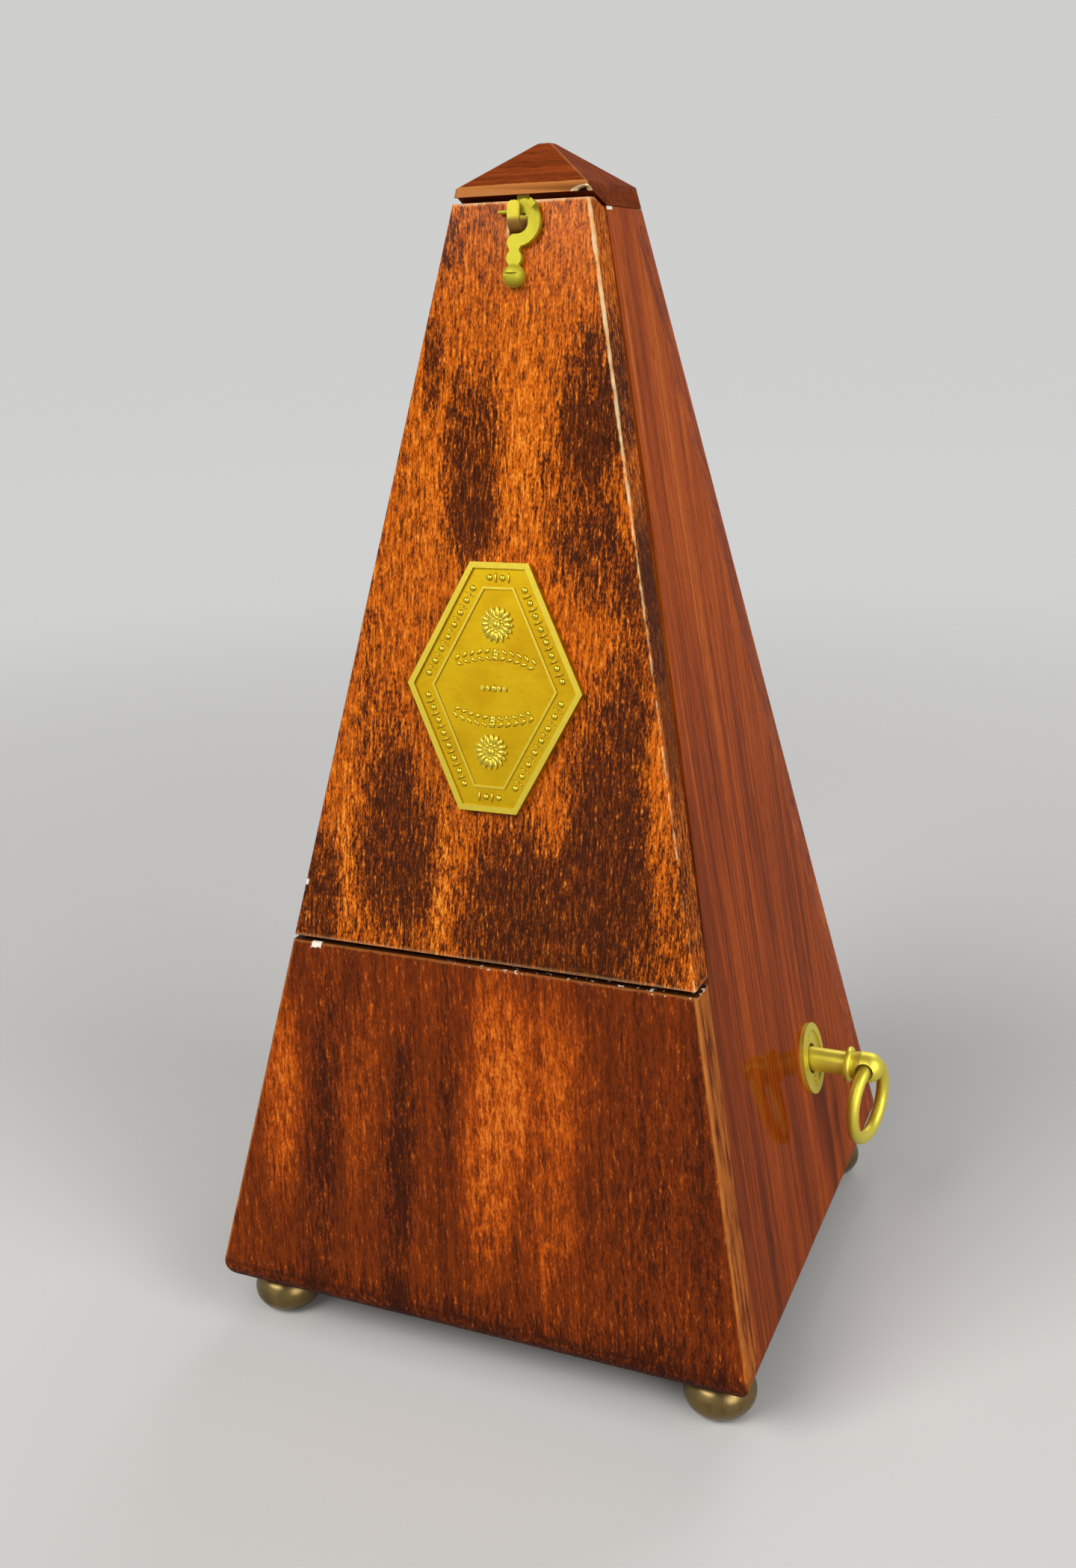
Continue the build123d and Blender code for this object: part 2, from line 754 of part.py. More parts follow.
# Pendulum rod, weight, arbor and lower arm with its bob
rod_0 = rod_depth - rod_t / 2
rod_1 = rod_depth + rod_t / 2
rod = slab(-rod_w / 2, rod_w / 2, pivot_up, pivot_up + rod_len, rod_0, rod_1)
rod += drum_in(rod_0, rod_1, rod_hub_r, 0, pivot_up)
rod -= drum_in(rod_0 - 1, rod_1 + 1, arbor_r, 0, pivot_up)
weight_low = pivot_up + weight_up - weight_h / 2
weight_high = weight_low + weight_h
weight_flat = make_face(
    Polyline(
        (-weight_foot_w / 2, weight_low),
        (weight_foot_w / 2, weight_low),
        (weight_top_w / 2, weight_high),
        (-weight_top_w / 2, weight_high),
        close=True,
    )
)
weight = front_prism(weight_flat, rod_depth - weight_t / 2, rod_depth + weight_t / 2)
weight -= slab(
    -rod_w / 2 - weight_clear,
    rod_w / 2 + weight_clear,
    weight_low - 1,
    weight_high + 1,
    rod_0 - weight_clear,
    rod_1 + weight_clear,
)
cock_front = arbor_back - cock_t
arbor = drum_in(arbor_front, cock_front - pivot_clear, arbor_r, 0, pivot_up)
arbor += drum_in(cock_front - 1, arbor_back, arbor_pivot_r, 0, pivot_up)
arm_0 = arm_depth - arm_t / 2
arm_1 = arm_depth + arm_t / 2
bob_up = pivot_up - bob_drop
arm = slab(-arm_w / 2, arm_w / 2, bob_up, pivot_up, arm_0, arm_1)
arm += drum_in(arm_0, arm_1, arm_hub_r, 0, pivot_up)
arm -= drum_in(arm_0 - 1, arm_1 + 1, arbor_r, 0, pivot_up)
bob = drum_in(arm_depth - bob_t / 2, arm_depth + bob_t / 2, bob_r, 0, bob_up)
bob -= arm

# Escape wheel under the arbor, with the two pallets that it drives
escape_axle = front_point(escape_up, escape_depth)
escape_phase = bearing(escape_axle, front_point(pivot_up, escape_depth))
escape_blank = toothed(escape_teeth, escape_r, escape_root_r, escape_root_at, escape_phase)
escape_blank -= Circle(escape_arbor_r)
hub_ring = (escape_root_r + escape_arbor_r) / 2
for spot in PolarLocations(hub_ring, escape_crossings):
    escape_blank -= spot * Circle(escape_crossing_r)
escape_wheel = on_x(-escape_t / 2, escape_axle) * extrude(escape_blank, escape_t)
pallets = []
for side in (-1, 1):
    spot = escape_depth + side * escape_r * sin(radians(pallet_angle))
    near = side * (escape_t / 2 + pallet_gap)
    far = near + side * pallet_w
    flag = slab(
        min(near, far),
        max(near, far),
        pivot_up - pallet_reach,
        pivot_up + arbor_r,
        spot - pallet_t / 2,
        spot + pallet_t / 2,
    )
    collet = drum_in(spot - pallet_t, spot + pallet_t, 2 * arbor_r, 0, pivot_up)
    pallets.append(flag + collet - drum_in(0, arbor_back, arbor_r, 0, pivot_up))

# Train axles: the second axle lies where both centre distances meet
first_gap = (great_teeth + second_pinion_teeth) * great_module / 2
second_gap = (second_teeth + escape_pinion_teeth) * second_module / 2
line_y = escape_axle[0] - key_y
line_z = escape_axle[1] - key_z
line = hypot(line_y, line_z)
along = (first_gap**2 - second_gap**2 + line**2) / (2 * line)
aside = sqrt(first_gap**2 - along**2)
second_axle = (
    key_y + (along * line_y - aside * line_z) / line,
    key_z + (along * line_z + aside * line_y) / line,
)
if second_axle[1] > escape_axle[1]:
    second_axle = (
        key_y + (along * line_y + aside * line_z) / line,
        key_z + (along * line_z - aside * line_y) / line,
    )

# Barrel with the great wheel, cap and mainspring
great_phase = bearing(key_axle, second_axle)
great = on_x(great_x, key_axle) * gear(
    great_teeth,
    great_module,
    wheel_addendum,
    wheel_dedendum,
    great_t,
    key_arbor_r + bore_clear,
    great_phase,
)
drum_0 = great_x + great_t
drum_1 = drum_0 + drum_len
drum = bar_x(drum_0, drum_1, drum_r, key_axle)
drum -= bar_x(drum_0 + drum_floor, drum_1 + 1, drum_r - drum_wall, key_axle)
drum -= bar_x(drum_0 - 1, drum_1 + 1, key_arbor_r + bore_clear, key_axle)
barrel = great + drum
cap_hole = bar_x(drum_1 - 1, drum_1 + cap_t + 1, key_arbor_r + bore_clear, key_axle)
barrel_cap = bar_x(drum_1, drum_1 + cap_t, drum_r, key_axle) - cap_hole
spring_outer_r = drum_r - drum_wall - spring_wall_gap - spring_t
spring_steps = spring_facets * spring_turns
growth = (spring_outer_r - spring_inner_r) / spring_steps
coil = [
    (spring_inner_r + growth * step, 2 * pi * step / spring_facets)
    for step in range(spring_steps + 1)
]
coil_in = [polar(radius, angle) for radius, angle in coil]
coil_out = [polar(radius + spring_t, angle) for radius, angle in reversed(coil)]
coil_face = make_face(Polyline(*(coil_in + coil_out), close=True))
spring_0 = drum_0 + drum_floor + spring_edge_gap
spring_w = drum_1 - spring_0 - spring_edge_gap
mainspring = on_x(spring_0, key_axle) * extrude(coil_face, spring_w)

# Key arbor, ratchet wheel, click and click spring
outside = plate_right + plate_t
ratchet_0 = outside + ratchet_gap
ratchet_1 = ratchet_0 + ratchet_t
square_end = face_x - stem_in + socket_len - square_clear
key_arbor = bar_x(plate_left, ratchet_1, key_arbor_r, key_axle)
key_arbor += bar_x(plate_left - plate_t, plate_left + 1, key_pivot_r, key_axle)
square_mid = (ratchet_1 + square_end) / 2
square_len = square_end - ratchet_1
key_arbor += Pos(square_mid, key_y, key_z) * Box(square_len, key_square, key_square)


def around_key(radius, angle):
    return key_y + radius * cos(radians(angle)), key_z + radius * sin(radians(angle))


click_axle = around_key(click_arm, click_bearing)
nose = around_key(ratchet_r + click_clear, click_nose)
nose_turn = bearing(key_axle, nose)
ratchet_phase = nose_turn - ratchet_shift * 2 * pi / ratchet_teeth
ratchet_blank = toothed(ratchet_teeth, ratchet_r, ratchet_root_r, ratchet_root_at, ratchet_phase)
ratchet_blank -= Circle(key_arbor_r)
ratchet_wheel = on_x(ratchet_0, key_axle) * extrude(ratchet_blank, ratchet_t)
click_run = hypot(nose[0] - click_axle[0], nose[1] - click_axle[1])
click_turn = bearing(click_axle, nose)
click_flat = Circle(click_hub_r) + Rot(0, 0, degrees(click_turn)) * make_face(
    Polyline(
        (0, -click_heel),
        (click_run - click_beak, click_lift),
        (click_run - click_nose_w, -click_nose_w / 2),
        (click_run, -click_nose_w / 2),
        (click_run, click_lift + click_arm_w),
        (0, click_hub_r),
        close=True,
    )
)
click_flat -= Circle(click_pivot_r + bore_clear)
click_0 = ratchet_0 + (ratchet_t - click_t) / 2
click = on_x(click_0, click_axle) * extrude(click_flat, click_t)
click_screw = bar_x(plate_right, click_0 + click_t + bore_clear, click_pivot_r, click_axle)
head_0 = click_0 + click_t + bore_clear
click_screw += bar_x(head_0, head_0 + pillar_head_h, pillar_head_r, click_axle)
leaf_low = click_hub_r + click_spring_gap
leaf_flat = Pos(click_run / 2, leaf_low) * Rectangle(click_run, click_spring_t)
leaf = on_x(click_0, click_axle) * Rot(0, 0, degrees(click_turn)) * extrude(leaf_flat, click_t)
stud_spot = on_x(plate_right, click_axle) * Rot(0, 0, degrees(click_turn))
stud_drop = leaf_low - click_spring_t / 2 + click_stud_r
stud_len = click_0 + click_t - plate_right
stud = stud_spot * Pos(0, stud_drop, stud_len / 2) * Cylinder(click_stud_r, stud_len)
click_spring = leaf + stud

# Second wheel and escape arbors with their pinions
second_phase = bearing(second_axle, escape_axle)
second_pinion_phase = bearing(second_axle, key_axle) + pi / second_pinion_teeth
escape_pinion_phase = bearing(escape_axle, second_axle) + pi / escape_pinion_teeth


def train_arbor(axle, radius):
    body = bar_x(plate_left + pivot_clear, plate_right - pivot_clear, radius, axle)
    return body + bar_x(plate_left - plate_t, plate_right + plate_t, train_pivot_r, axle)


second_arbor = train_arbor(second_axle, second_arbor_r)
second_arbor += on_x(second_pinion_x, second_axle) * gear(
    second_pinion_teeth,
    great_module,
    pinion_addendum,
    pinion_dedendum,
    second_pinion_w,
    0,
    second_pinion_phase,
)
second_wheel = gear(
    second_teeth,
    second_module,
    wheel_addendum,
    wheel_dedendum,
    second_wheel_t,
    second_arbor_r,
    second_phase,
)
crossing_ring = second_teeth * second_module / 4
for spot in PolarLocations(crossing_ring, crossings):
    second_wheel -= spot * Cylinder(crossing_r, 4 * second_wheel_t)
second_wheel = on_x(second_wheel_x, second_axle) * second_wheel
escape_arbor = train_arbor(escape_axle, escape_arbor_r)
escape_arbor += on_x(escape_pinion_x, escape_axle) * gear(
    escape_pinion_teeth,
    second_module,
    pinion_addendum,
    pinion_dedendum,
    escape_pinion_w,
    0,
    escape_pinion_phase,
)

# Movement plates, pillars, cock and screws
cock_axle = front_point(pivot_up, arbor_back - cock_t / 2)
pillar_places = [
    (plate_front_y + pillar_low_front, floor_top + pillar_low),
    (plate_back_y - pillar_low_back, floor_top + pillar_low),
    (plate_back_y - pillar_high_back, escape_axle[1] - pillar_back_drop),
    (plate_front_y + pillar_high_front, escape_axle[1] - pillar_front_drop),
]
right_outline = [
    (plate_front_y, floor_top),
    (plate_back_y, floor_top),
    (plate_back_y - plate_taper, escape_axle[1] + plate_shoulder),
    (escape_axle[0], escape_axle[1] + plate_brow),
    (plate_front_y, escape_axle[1] - plate_chin),
]
left_outline = [
    (plate_front_y, floor_top),
    (plate_back_y, floor_top),
    (plate_back_y - plate_taper, escape_axle[1] + plate_shoulder),
    (cock_axle[0] + cock_h, cock_axle[1] + cock_h / 2),
    (cock_axle[0] - cock_h / 2, cock_axle[1] + cock_h / 2),
    (escape_axle[0], escape_axle[1] + plate_brow),
    (plate_front_y, escape_axle[1] - plate_chin),
]
flange_y = (plate_front_y + plate_back_y) / 2
flange_w = plate_back_y - plate_front_y
flange_z = floor_top + plate_t / 2


def plate(outline, x0, away):
    flat = Plane.YZ * make_face(Polyline(*outline, close=True))
    board = Pos(x0, 0, 0) * extrude(flat, plate_t)
    flange_x = x0 + plate_t / 2 + away * (plate_t + plate_flange) / 2
    return board + Pos(flange_x, flange_y, flange_z) * Box(plate_flange, flange_w, plate_t)


left_x = plate_left - plate_t
plate_l = plate(left_outline, left_x, -1)
plate_r = plate(right_outline, plate_right, 1)
pivot_r = train_pivot_r + pivot_clear
for axle in (second_axle, escape_axle):
    plate_l -= bar_x(left_x - 1, plate_left + 1, pivot_r, axle)
    plate_r -= bar_x(plate_right - 1, outside + 1, pivot_r, axle)
plate_l -= bar_x(left_x - 1, plate_left + 1, key_pivot_r + pivot_clear, key_axle)
plate_r -= bar_x(plate_right - 1, outside + 1, key_arbor_r + pivot_clear, key_axle)
plate_r -= click_screw + click_spring
pillars = []
pillar_screws = []
for place in pillar_places:
    left_screw = bar_x(left_x - pillar_head_h, left_x, pillar_head_r, place)
    left_screw += bar_x(left_x - lap, plate_left + pillar_screw_bite, pillar_screw_r, place)
    right_screw = bar_x(outside, outside + pillar_head_h, pillar_head_r, place)
    right_screw += bar_x(plate_right - pillar_screw_bite, outside + lap, pillar_screw_r, place)
    pillars.append(bar_x(plate_left, plate_right, pillar_r, place) - left_screw - right_screw)
    pillar_screws += [left_screw, right_screw]
    plate_l -= left_screw
    plate_r -= right_screw
movement_screws = []
for x in (left_x - plate_flange / 2, outside + plate_flange / 2):
    for y in (plate_front_y + plate_screw_in, plate_back_y - plate_screw_in):
        bite = floor_top - wood_screw_bite
        top = floor_top + plate_t
        shank = Pos(x, y, (bite + top) / 2) * Cylinder(wood_screw_r, top - bite)
        head = Pos(x, y, top + wood_screw_head_h / 2)
        head = head * Cylinder(wood_screw_head_r, wood_screw_head_h)
        movement_screws.append(shank + head)
for screw in movement_screws:
    plate_l -= screw
    plate_r -= screw
    bottom_board -= screw
cock_out = arbor_r + cock_over
cock = slab(
    plate_left, cock_out, pivot_up - cock_h / 2, pivot_up + cock_h / 2, cock_front, arbor_back
)
cock -= drum_in(cock_front - 1, arbor_back + 1, arbor_pivot_r + pivot_clear, 0, pivot_up)
cock_screw = bar_x(left_x - pillar_head_h, left_x, pillar_head_r, cock_axle)
cock_screw += bar_x(left_x - lap, -arbor_r - cock_screw_gap, pillar_screw_r, cock_axle)
cock -= cock_screw
plate_l -= cock_screw

# One file for each piece
save("wall_right", wall_right)
save("wall_left", wall_left)
save("wall_back", wall_back)
save("panel_front", panel_front)
save("bottom_board", bottom_board)
save("batten_left", batten_left)
save("batten_right", batten_right)
save("bottom_screws", group(bottom_screws))
for name, foot in zip(("back_left", "front_left", "back_right", "front_right"), feet):
    save("foot_" + name, foot)
save("face_board", face_board)
save("scale_plate", scale_plate)
save("front_bush", bush)
save("cover", cover)
save("plaque", plaque)
save("hook", hook)
save("hook_screw", hook_screw)
save("lid", lid)
save("catch_strip", catch_strip)
save("hinge_leaf_case", hinge_case)
save("hinge_leaf_lid", hinge_lid)
save("hinge_pin", hinge_pin)
save("hinge_screws_case", group(case_leaf_screws))
save("hinge_screw_lid", lid_leaf_screws[0])
save("escutcheon", escutcheon)
save("escutcheon_pins", group(escutcheon_pins))
save("key", key)
save("key_ring", key_ring)
save("key_arbor", key_arbor)
save("ratchet_wheel", ratchet_wheel)
save("click", click)
save("click_screw", click_screw)
save("click_spring", click_spring)
save("barrel", barrel)
save("barrel_cap", barrel_cap)
save("mainspring", mainspring)
save("second_arbor", second_arbor)
save("second_wheel", second_wheel)
save("escape_arbor", escape_arbor)
save("escape_wheel", escape_wheel)
save("plate_left", plate_l)
save("plate_right", plate_r)
save("pillars", group(pillars))
save("pillar_screws", group(pillar_screws))
save("movement_screws", group(movement_screws))
save("arbor_cock", cock)
save("cock_screw", cock_screw)
save("pendulum_rod", rod)
save("weight", weight)
save("pendulum_arbor", arbor)
save("lower_arm", arm)
save("bob", bob)
save("pallets", group(pallets))
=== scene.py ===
from math import cos, hypot, pi, radians, sin, sqrt

import bpy
from mathutils import Matrix, Vector


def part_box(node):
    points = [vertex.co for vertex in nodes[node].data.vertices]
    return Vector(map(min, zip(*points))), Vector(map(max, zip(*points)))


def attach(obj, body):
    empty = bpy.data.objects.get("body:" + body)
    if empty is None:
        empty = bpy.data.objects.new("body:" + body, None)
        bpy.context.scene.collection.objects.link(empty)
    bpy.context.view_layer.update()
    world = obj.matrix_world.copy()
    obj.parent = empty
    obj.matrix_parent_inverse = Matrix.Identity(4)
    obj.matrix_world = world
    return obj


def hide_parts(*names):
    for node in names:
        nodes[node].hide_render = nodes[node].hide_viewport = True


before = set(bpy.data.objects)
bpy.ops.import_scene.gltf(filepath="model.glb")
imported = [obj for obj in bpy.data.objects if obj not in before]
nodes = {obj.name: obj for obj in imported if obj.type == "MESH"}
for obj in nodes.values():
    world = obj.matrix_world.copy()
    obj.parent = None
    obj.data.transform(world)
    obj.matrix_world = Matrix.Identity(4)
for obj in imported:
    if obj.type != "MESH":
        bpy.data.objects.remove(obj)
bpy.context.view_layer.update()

# Case form, in metres: half-width of the base, lean of each face, height of the feet
base_half = 0.05665
lean = 0.2076
foot_h = 0.0093
secant = sqrt(1 + lean * lean)

# Plaque, in metres: place up the front, half-sizes, thickness and the middle of its border
plaque_up = 0.12652
plaque_tall = 0.0228
plaque_waist = 0.0175
plaque_end = 0.0058
plaque_t = 0.0012
border_in = 0.00275

# Border beads and laurel, in metres and degrees; the moulds' cuts are in radii of the mould
bead_r = 0.00060
bead_h = 0.00048
bead_cut = -0.2
bead_pitch = 0.00128
border_end_gap = 0.0019
reel = (0.36, 1.6, 0.9)
leaf_len = 0.0025
leaf_w = 0.00095
leaf_h = 0.0005
leaf_tilt = 34.0
leaf_point = 1.2
leaf_stalk = 0.8
laurel_r = 0.0195
laurel_crown = 0.0061
laurel_first = 3.0
laurel_step = 4.4
laurel_pairs = 6

# Rosettes: place from the plaque's middle, then count, radius and stretched bead of each ring
rosette_at = 0.0116
rosette_lift = plaque_t + 0.0001
petal_rings = [(16, 0.0022, (0.80, 1.85, 0.95)), (10, 0.00125, (0.55, 0.85, 1.15))]
boss = (1.35, 1.35, 1.45)
flourish = [(0.0, (1.1, 1.1, 0.9)), (0.0012, (0.7, 0.9, 0.9)), (0.0021, (0.9, 0.45, 0.9))]

# Tempo scale, in metres: slow beats at the top, fast at the bottom
tempo_marks = [*range(40, 61, 2), *range(63, 73, 3), *range(76, 121, 4)]
tempo_marks += [*range(126, 145, 6), *range(152, 209, 8)]
number_h = 0.0021
number_x = 0.0058
scale_margin = 0.0025
scale_depth = 0.0080
line_w = 0.0016
line_h = 0.00018
line_in = 0.0033
ink_t = 0.00004

# Chip out of the lid's front right corner, in metres: half-sizes, roughness and place
chip_half = (0.0030, 0.0024, 0.0013)
chip_rough = 0.00022
chip_seed = 4
chip_at = (0.0128, -0.0140, 0.2187)

# Photograph's camera: place in metres, turns in radians, focal length and width in pixels
camera_at = Vector((0.11781, -0.28358, 0.2013))
camera_yaw = 0.4112
camera_pitch = 0.302
camera_roll = -0.0323
focal_px = 2087.07
photo_w = 1440
sensor_mm = 36.0
near_clip = 0.005

# Studio floor and sky, in metres
floor_r = 2.6
floor_sides = 96
floor_wall = 1.8
floor_bend = 0.9
floor_bend_steps = 24
floor_near = 0.16
floor_far = 0.85
floor_seen = (0.52, 0.52, 0.515)
wall_seen = (0.62, 0.62, 0.615)
floor_dim = (0.055, 0.055, 0.065)
sky_grey = (0.80, 0.82, 0.85)
sky_strength = 0.22

# Lamps, in metres and watts: name, place, width, height, power and colour
lamps = [
    ("key_light", (-0.55, -0.95, 1.05), 0.9, 0.7, 20.0, (1.0, 0.97, 0.93)),
    ("side_light", (1.10, -0.30, 0.90), 0.6, 0.9, 9.0, (1.0, 0.98, 0.96)),
    ("back_light", (0.1, 1.1, 1.0), 0.9, 0.5, 6.0, (1.0, 1.0, 1.0)),
    ("right_card", (1.25, -0.95, 0.50), 0.9, 0.9, 12.0, (1.0, 0.98, 0.95)),
    ("low_card", (-0.8, -1.7, 0.25), 1.2, 0.8, 1.5, (1.0, 0.98, 0.95)),
]
lamp_aim = Vector((0, 0, 0.11))

# Edges and worn places, in millimetres: heights, and distances across the panel and along the wall
lid_rise = 7.7
catch_curl = 2.4
dark_strip = (114.0, 166.0)
cover_nick = (93.0, 94.2)
notch_half = 2.5
notch_deep = 6.4
panel_nick = (-37.4, -35.4)
wall_chip = (7.8, 10.4)
# skirt_shade_band: heights of a painted shade line along the panel's rounded skirt, above the feet
skirt_shade_band = (4.6, 5.4)

# Grain: sideways run for each millimetre of height, then cells in a millimetre across, into and along
panel_grain_lean = 0.11
side_grain_lean = 0.15
lid_grain_lean = 0.4
fleck_cells = (1.7, 1.7, 0.34)
grit_cells = (4.0, 4.0, 1.4)
line_cells = (0.80, 0.80, 0.018)
band_cells = (0.15, 0.15, 0.006)
cloud_cells = (0.32, 0.32, 0.075)
mottle_cells = (0.16, 0.16, 0.22)
pore_cells = 2.6

# How far stains darken the tone and tint it, how far light patches lift it, how dark the pores are
stain_depth = 0.36
stain_tint = 0.42
light_lift = 0.42
pore_tint = 0.62


def level(node, corner):
    """Height of a node's lowest (0) or highest (1) corner, in millimetres."""
    return 1000.0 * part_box(node)[corner][2]


# Heights of the case's edges, in millimetres
case_foot = 1000.0 * foot_h
panel_top = level("panel_front", 1)
cover_foot = level("cover", 0)
cover_top = level("cover", 1)
wall_top = level("wall_right", 1)
lid_rim = level("lid", 1) - lid_rise
curl_top = level("catch_strip", 0) + catch_curl

# Wood tones, dark to light
cover_tones = [
    (0.00, (0.030, 0.0075, 0.0020)),
    (0.20, (0.105, 0.0210, 0.0028)),
    (0.42, (0.290, 0.0560, 0.0036)),
    (0.62, (0.540, 0.1120, 0.0045)),
    (0.82, (0.680, 0.1750, 0.0100)),
    (1.00, (0.790, 0.3000, 0.0380)),
]
panel_tones = [
    (0.00, (0.026, 0.0050, 0.0016)),
    (0.25, (0.090, 0.0150, 0.0022)),
    (0.50, (0.190, 0.0300, 0.0026)),
    (0.72, (0.390, 0.0660, 0.0040)),
    (0.88, (0.540, 0.1080, 0.0070)),
    (1.00, (0.650, 0.1700, 0.0170)),
]
side_tones = [
    (0.00, (0.070, 0.0130, 0.0030)),
    (0.30, (0.170, 0.0280, 0.0036)),
    (0.52, (0.285, 0.0470, 0.0042)),
    (0.75, (0.410, 0.0760, 0.0065)),
    (1.00, (0.560, 0.1400, 0.0170)),
]
lid_tones = [
    (0.00, (0.050, 0.0110, 0.0035)),
    (0.35, (0.150, 0.0280, 0.0055)),
    (0.60, (0.260, 0.0480, 0.0080)),
    (1.00, (0.460, 0.1150, 0.0220)),
]
stain_brown = (0.056, 0.0105, 0.0020)
# Pore brown: the pores' own colour, used also as painted shade in the seam, along the skirt and in the chip
pore_and_shade_brown = (0.022, 0.006, 0.003)
rubbed_orange = (0.52, 0.150, 0.018)
rubbed_tan = (0.50, 0.190, 0.045)
raw_wood = (0.74, 0.40, 0.13)
raw_pale = (0.84, 0.66, 0.38)
chip_white = (0.86, 0.80, 0.68)
softwood_tones = [(0.0, (0.20, 0.105, 0.045)), (0.5, (0.40, 0.245, 0.125)), (1.0, (0.58, 0.40, 0.23))]

# Metal and card colours
# Bronze-brown painted shade for the catch strip's downward-facing curl
curl_shade_bronze = (0.30, 0.15, 0.03)
plaque_gold = (0.465, 0.300, 0.0070)
plaque_film = (0.39, 0.225, 0.0048)
plaque_grime = (0.28, 0.15, 0.006)
# Paler brass of the raised relief, partly its own tone and partly painted highlight
plaque_proud_and_highlight = (0.57, 0.44, 0.044)
card_shade = (0.70, 0.63, 0.46)
card_cream = (0.82, 0.77, 0.62)
card_brown = (0.52, 0.38, 0.20)
ink_black = (0.025, 0.022, 0.020)
ink_worn = (0.14, 0.11, 0.08)

# Dark and light patches of the figure, and painted light high on the sides: x and z in millimetres,
# half-sizes, weight (dark is positive)
cover_patches = [
    (-13, 212, 3, 8, 0.62),
    (-15.5, 190, 1.9, 10, 0.78),
    (-7, 174, 5.5, 15, 0.95),
    (-6, 160, 6, 8, 0.50),
    (16.5, 186, 6.5, 12, 0.95),
    (14, 170, 8, 11, 0.68),
    (19, 156, 9, 8, 0.72),
    (27, 140, 4.5, 16, 0.70),
    (22, 120, 7, 16, 0.75),
    (24, 106, 7, 12, 0.72),
    (5, 92, 9, 15, 0.85),
    (22, 92, 9, 15, 0.90),
    (-19, 102, 8, 14, 0.78),
    (-22, 122, 6, 11, 0.48),
    (-37, 92, 5, 12, 0.70),
    (35, 92, 4, 14, 0.22),
    (-28, 140, 4, 12, 0.35),
    # Broad darkening towards the cover's foot
    (0, 80, 90, 34, 0.40),
    (3, 176, 3.5, 16, -0.22),
    (-17, 166, 3, 18, -0.18),
    (-10, 97, 1.8, 12, -0.45),
    (-30, 98, 1.8, 14, -0.35),
]
panel_patches = [
    (3.5, 54, 5.5, 27, -1.05),
    (15, 60, 7, 16, -0.62),
    (16, 34, 5, 10, -0.45),
    (-43, 50, 4.5, 19, -0.80),
    (-25, 56, 3.5, 17, -0.58),
    (-33, 46, 3.5, 30, 0.60),
    (-15.5, 38, 3.2, 28, 0.70),
    (-7, 60, 2.5, 24, 0.35),
    (38, 38, 14, 34, 0.30),
    # Darker band along the bottom of the panel
    (5, 12, 70, 6, 0.45),
]
# Painted light: one broad light patch that lightens the upper part of the sides, as if lit from above
side_painted_light = [
    (20, 195, 80, 70, -0.40),
]


# Shader arithmetic


class Signal:
    """A node's output that takes part in arithmetic."""

    def __init__(self, finish, socket):
        self.finish = finish
        self.socket = socket

    def math(self, operation, *others):
        inputs = dict(enumerate((self,) + others))
        return self.finish.add("ShaderNodeMath", {"operation": operation}, inputs)

    def flipped(self, operation, other):
        return self.finish.add("ShaderNodeMath", {"operation": operation}, {0: other, 1: self})

    def __add__(self, other):
        return self.math("ADD", other)

    def __radd__(self, other):
        return self.math("ADD", other)

    def __sub__(self, other):
        return self.math("SUBTRACT", other)

    def __rsub__(self, other):
        return self.flipped("SUBTRACT", other)

    def __mul__(self, other):
        return self.math("MULTIPLY", other)

    def __rmul__(self, other):
        return self.math("MULTIPLY", other)

    def __truediv__(self, other):
        return self.math("DIVIDE", other)

    def __abs__(self):
        return self.math("ABSOLUTE")

    def least(self, other):
        return self.math("MINIMUM", other)

    def most(self, other):
        return self.math("MAXIMUM", other)


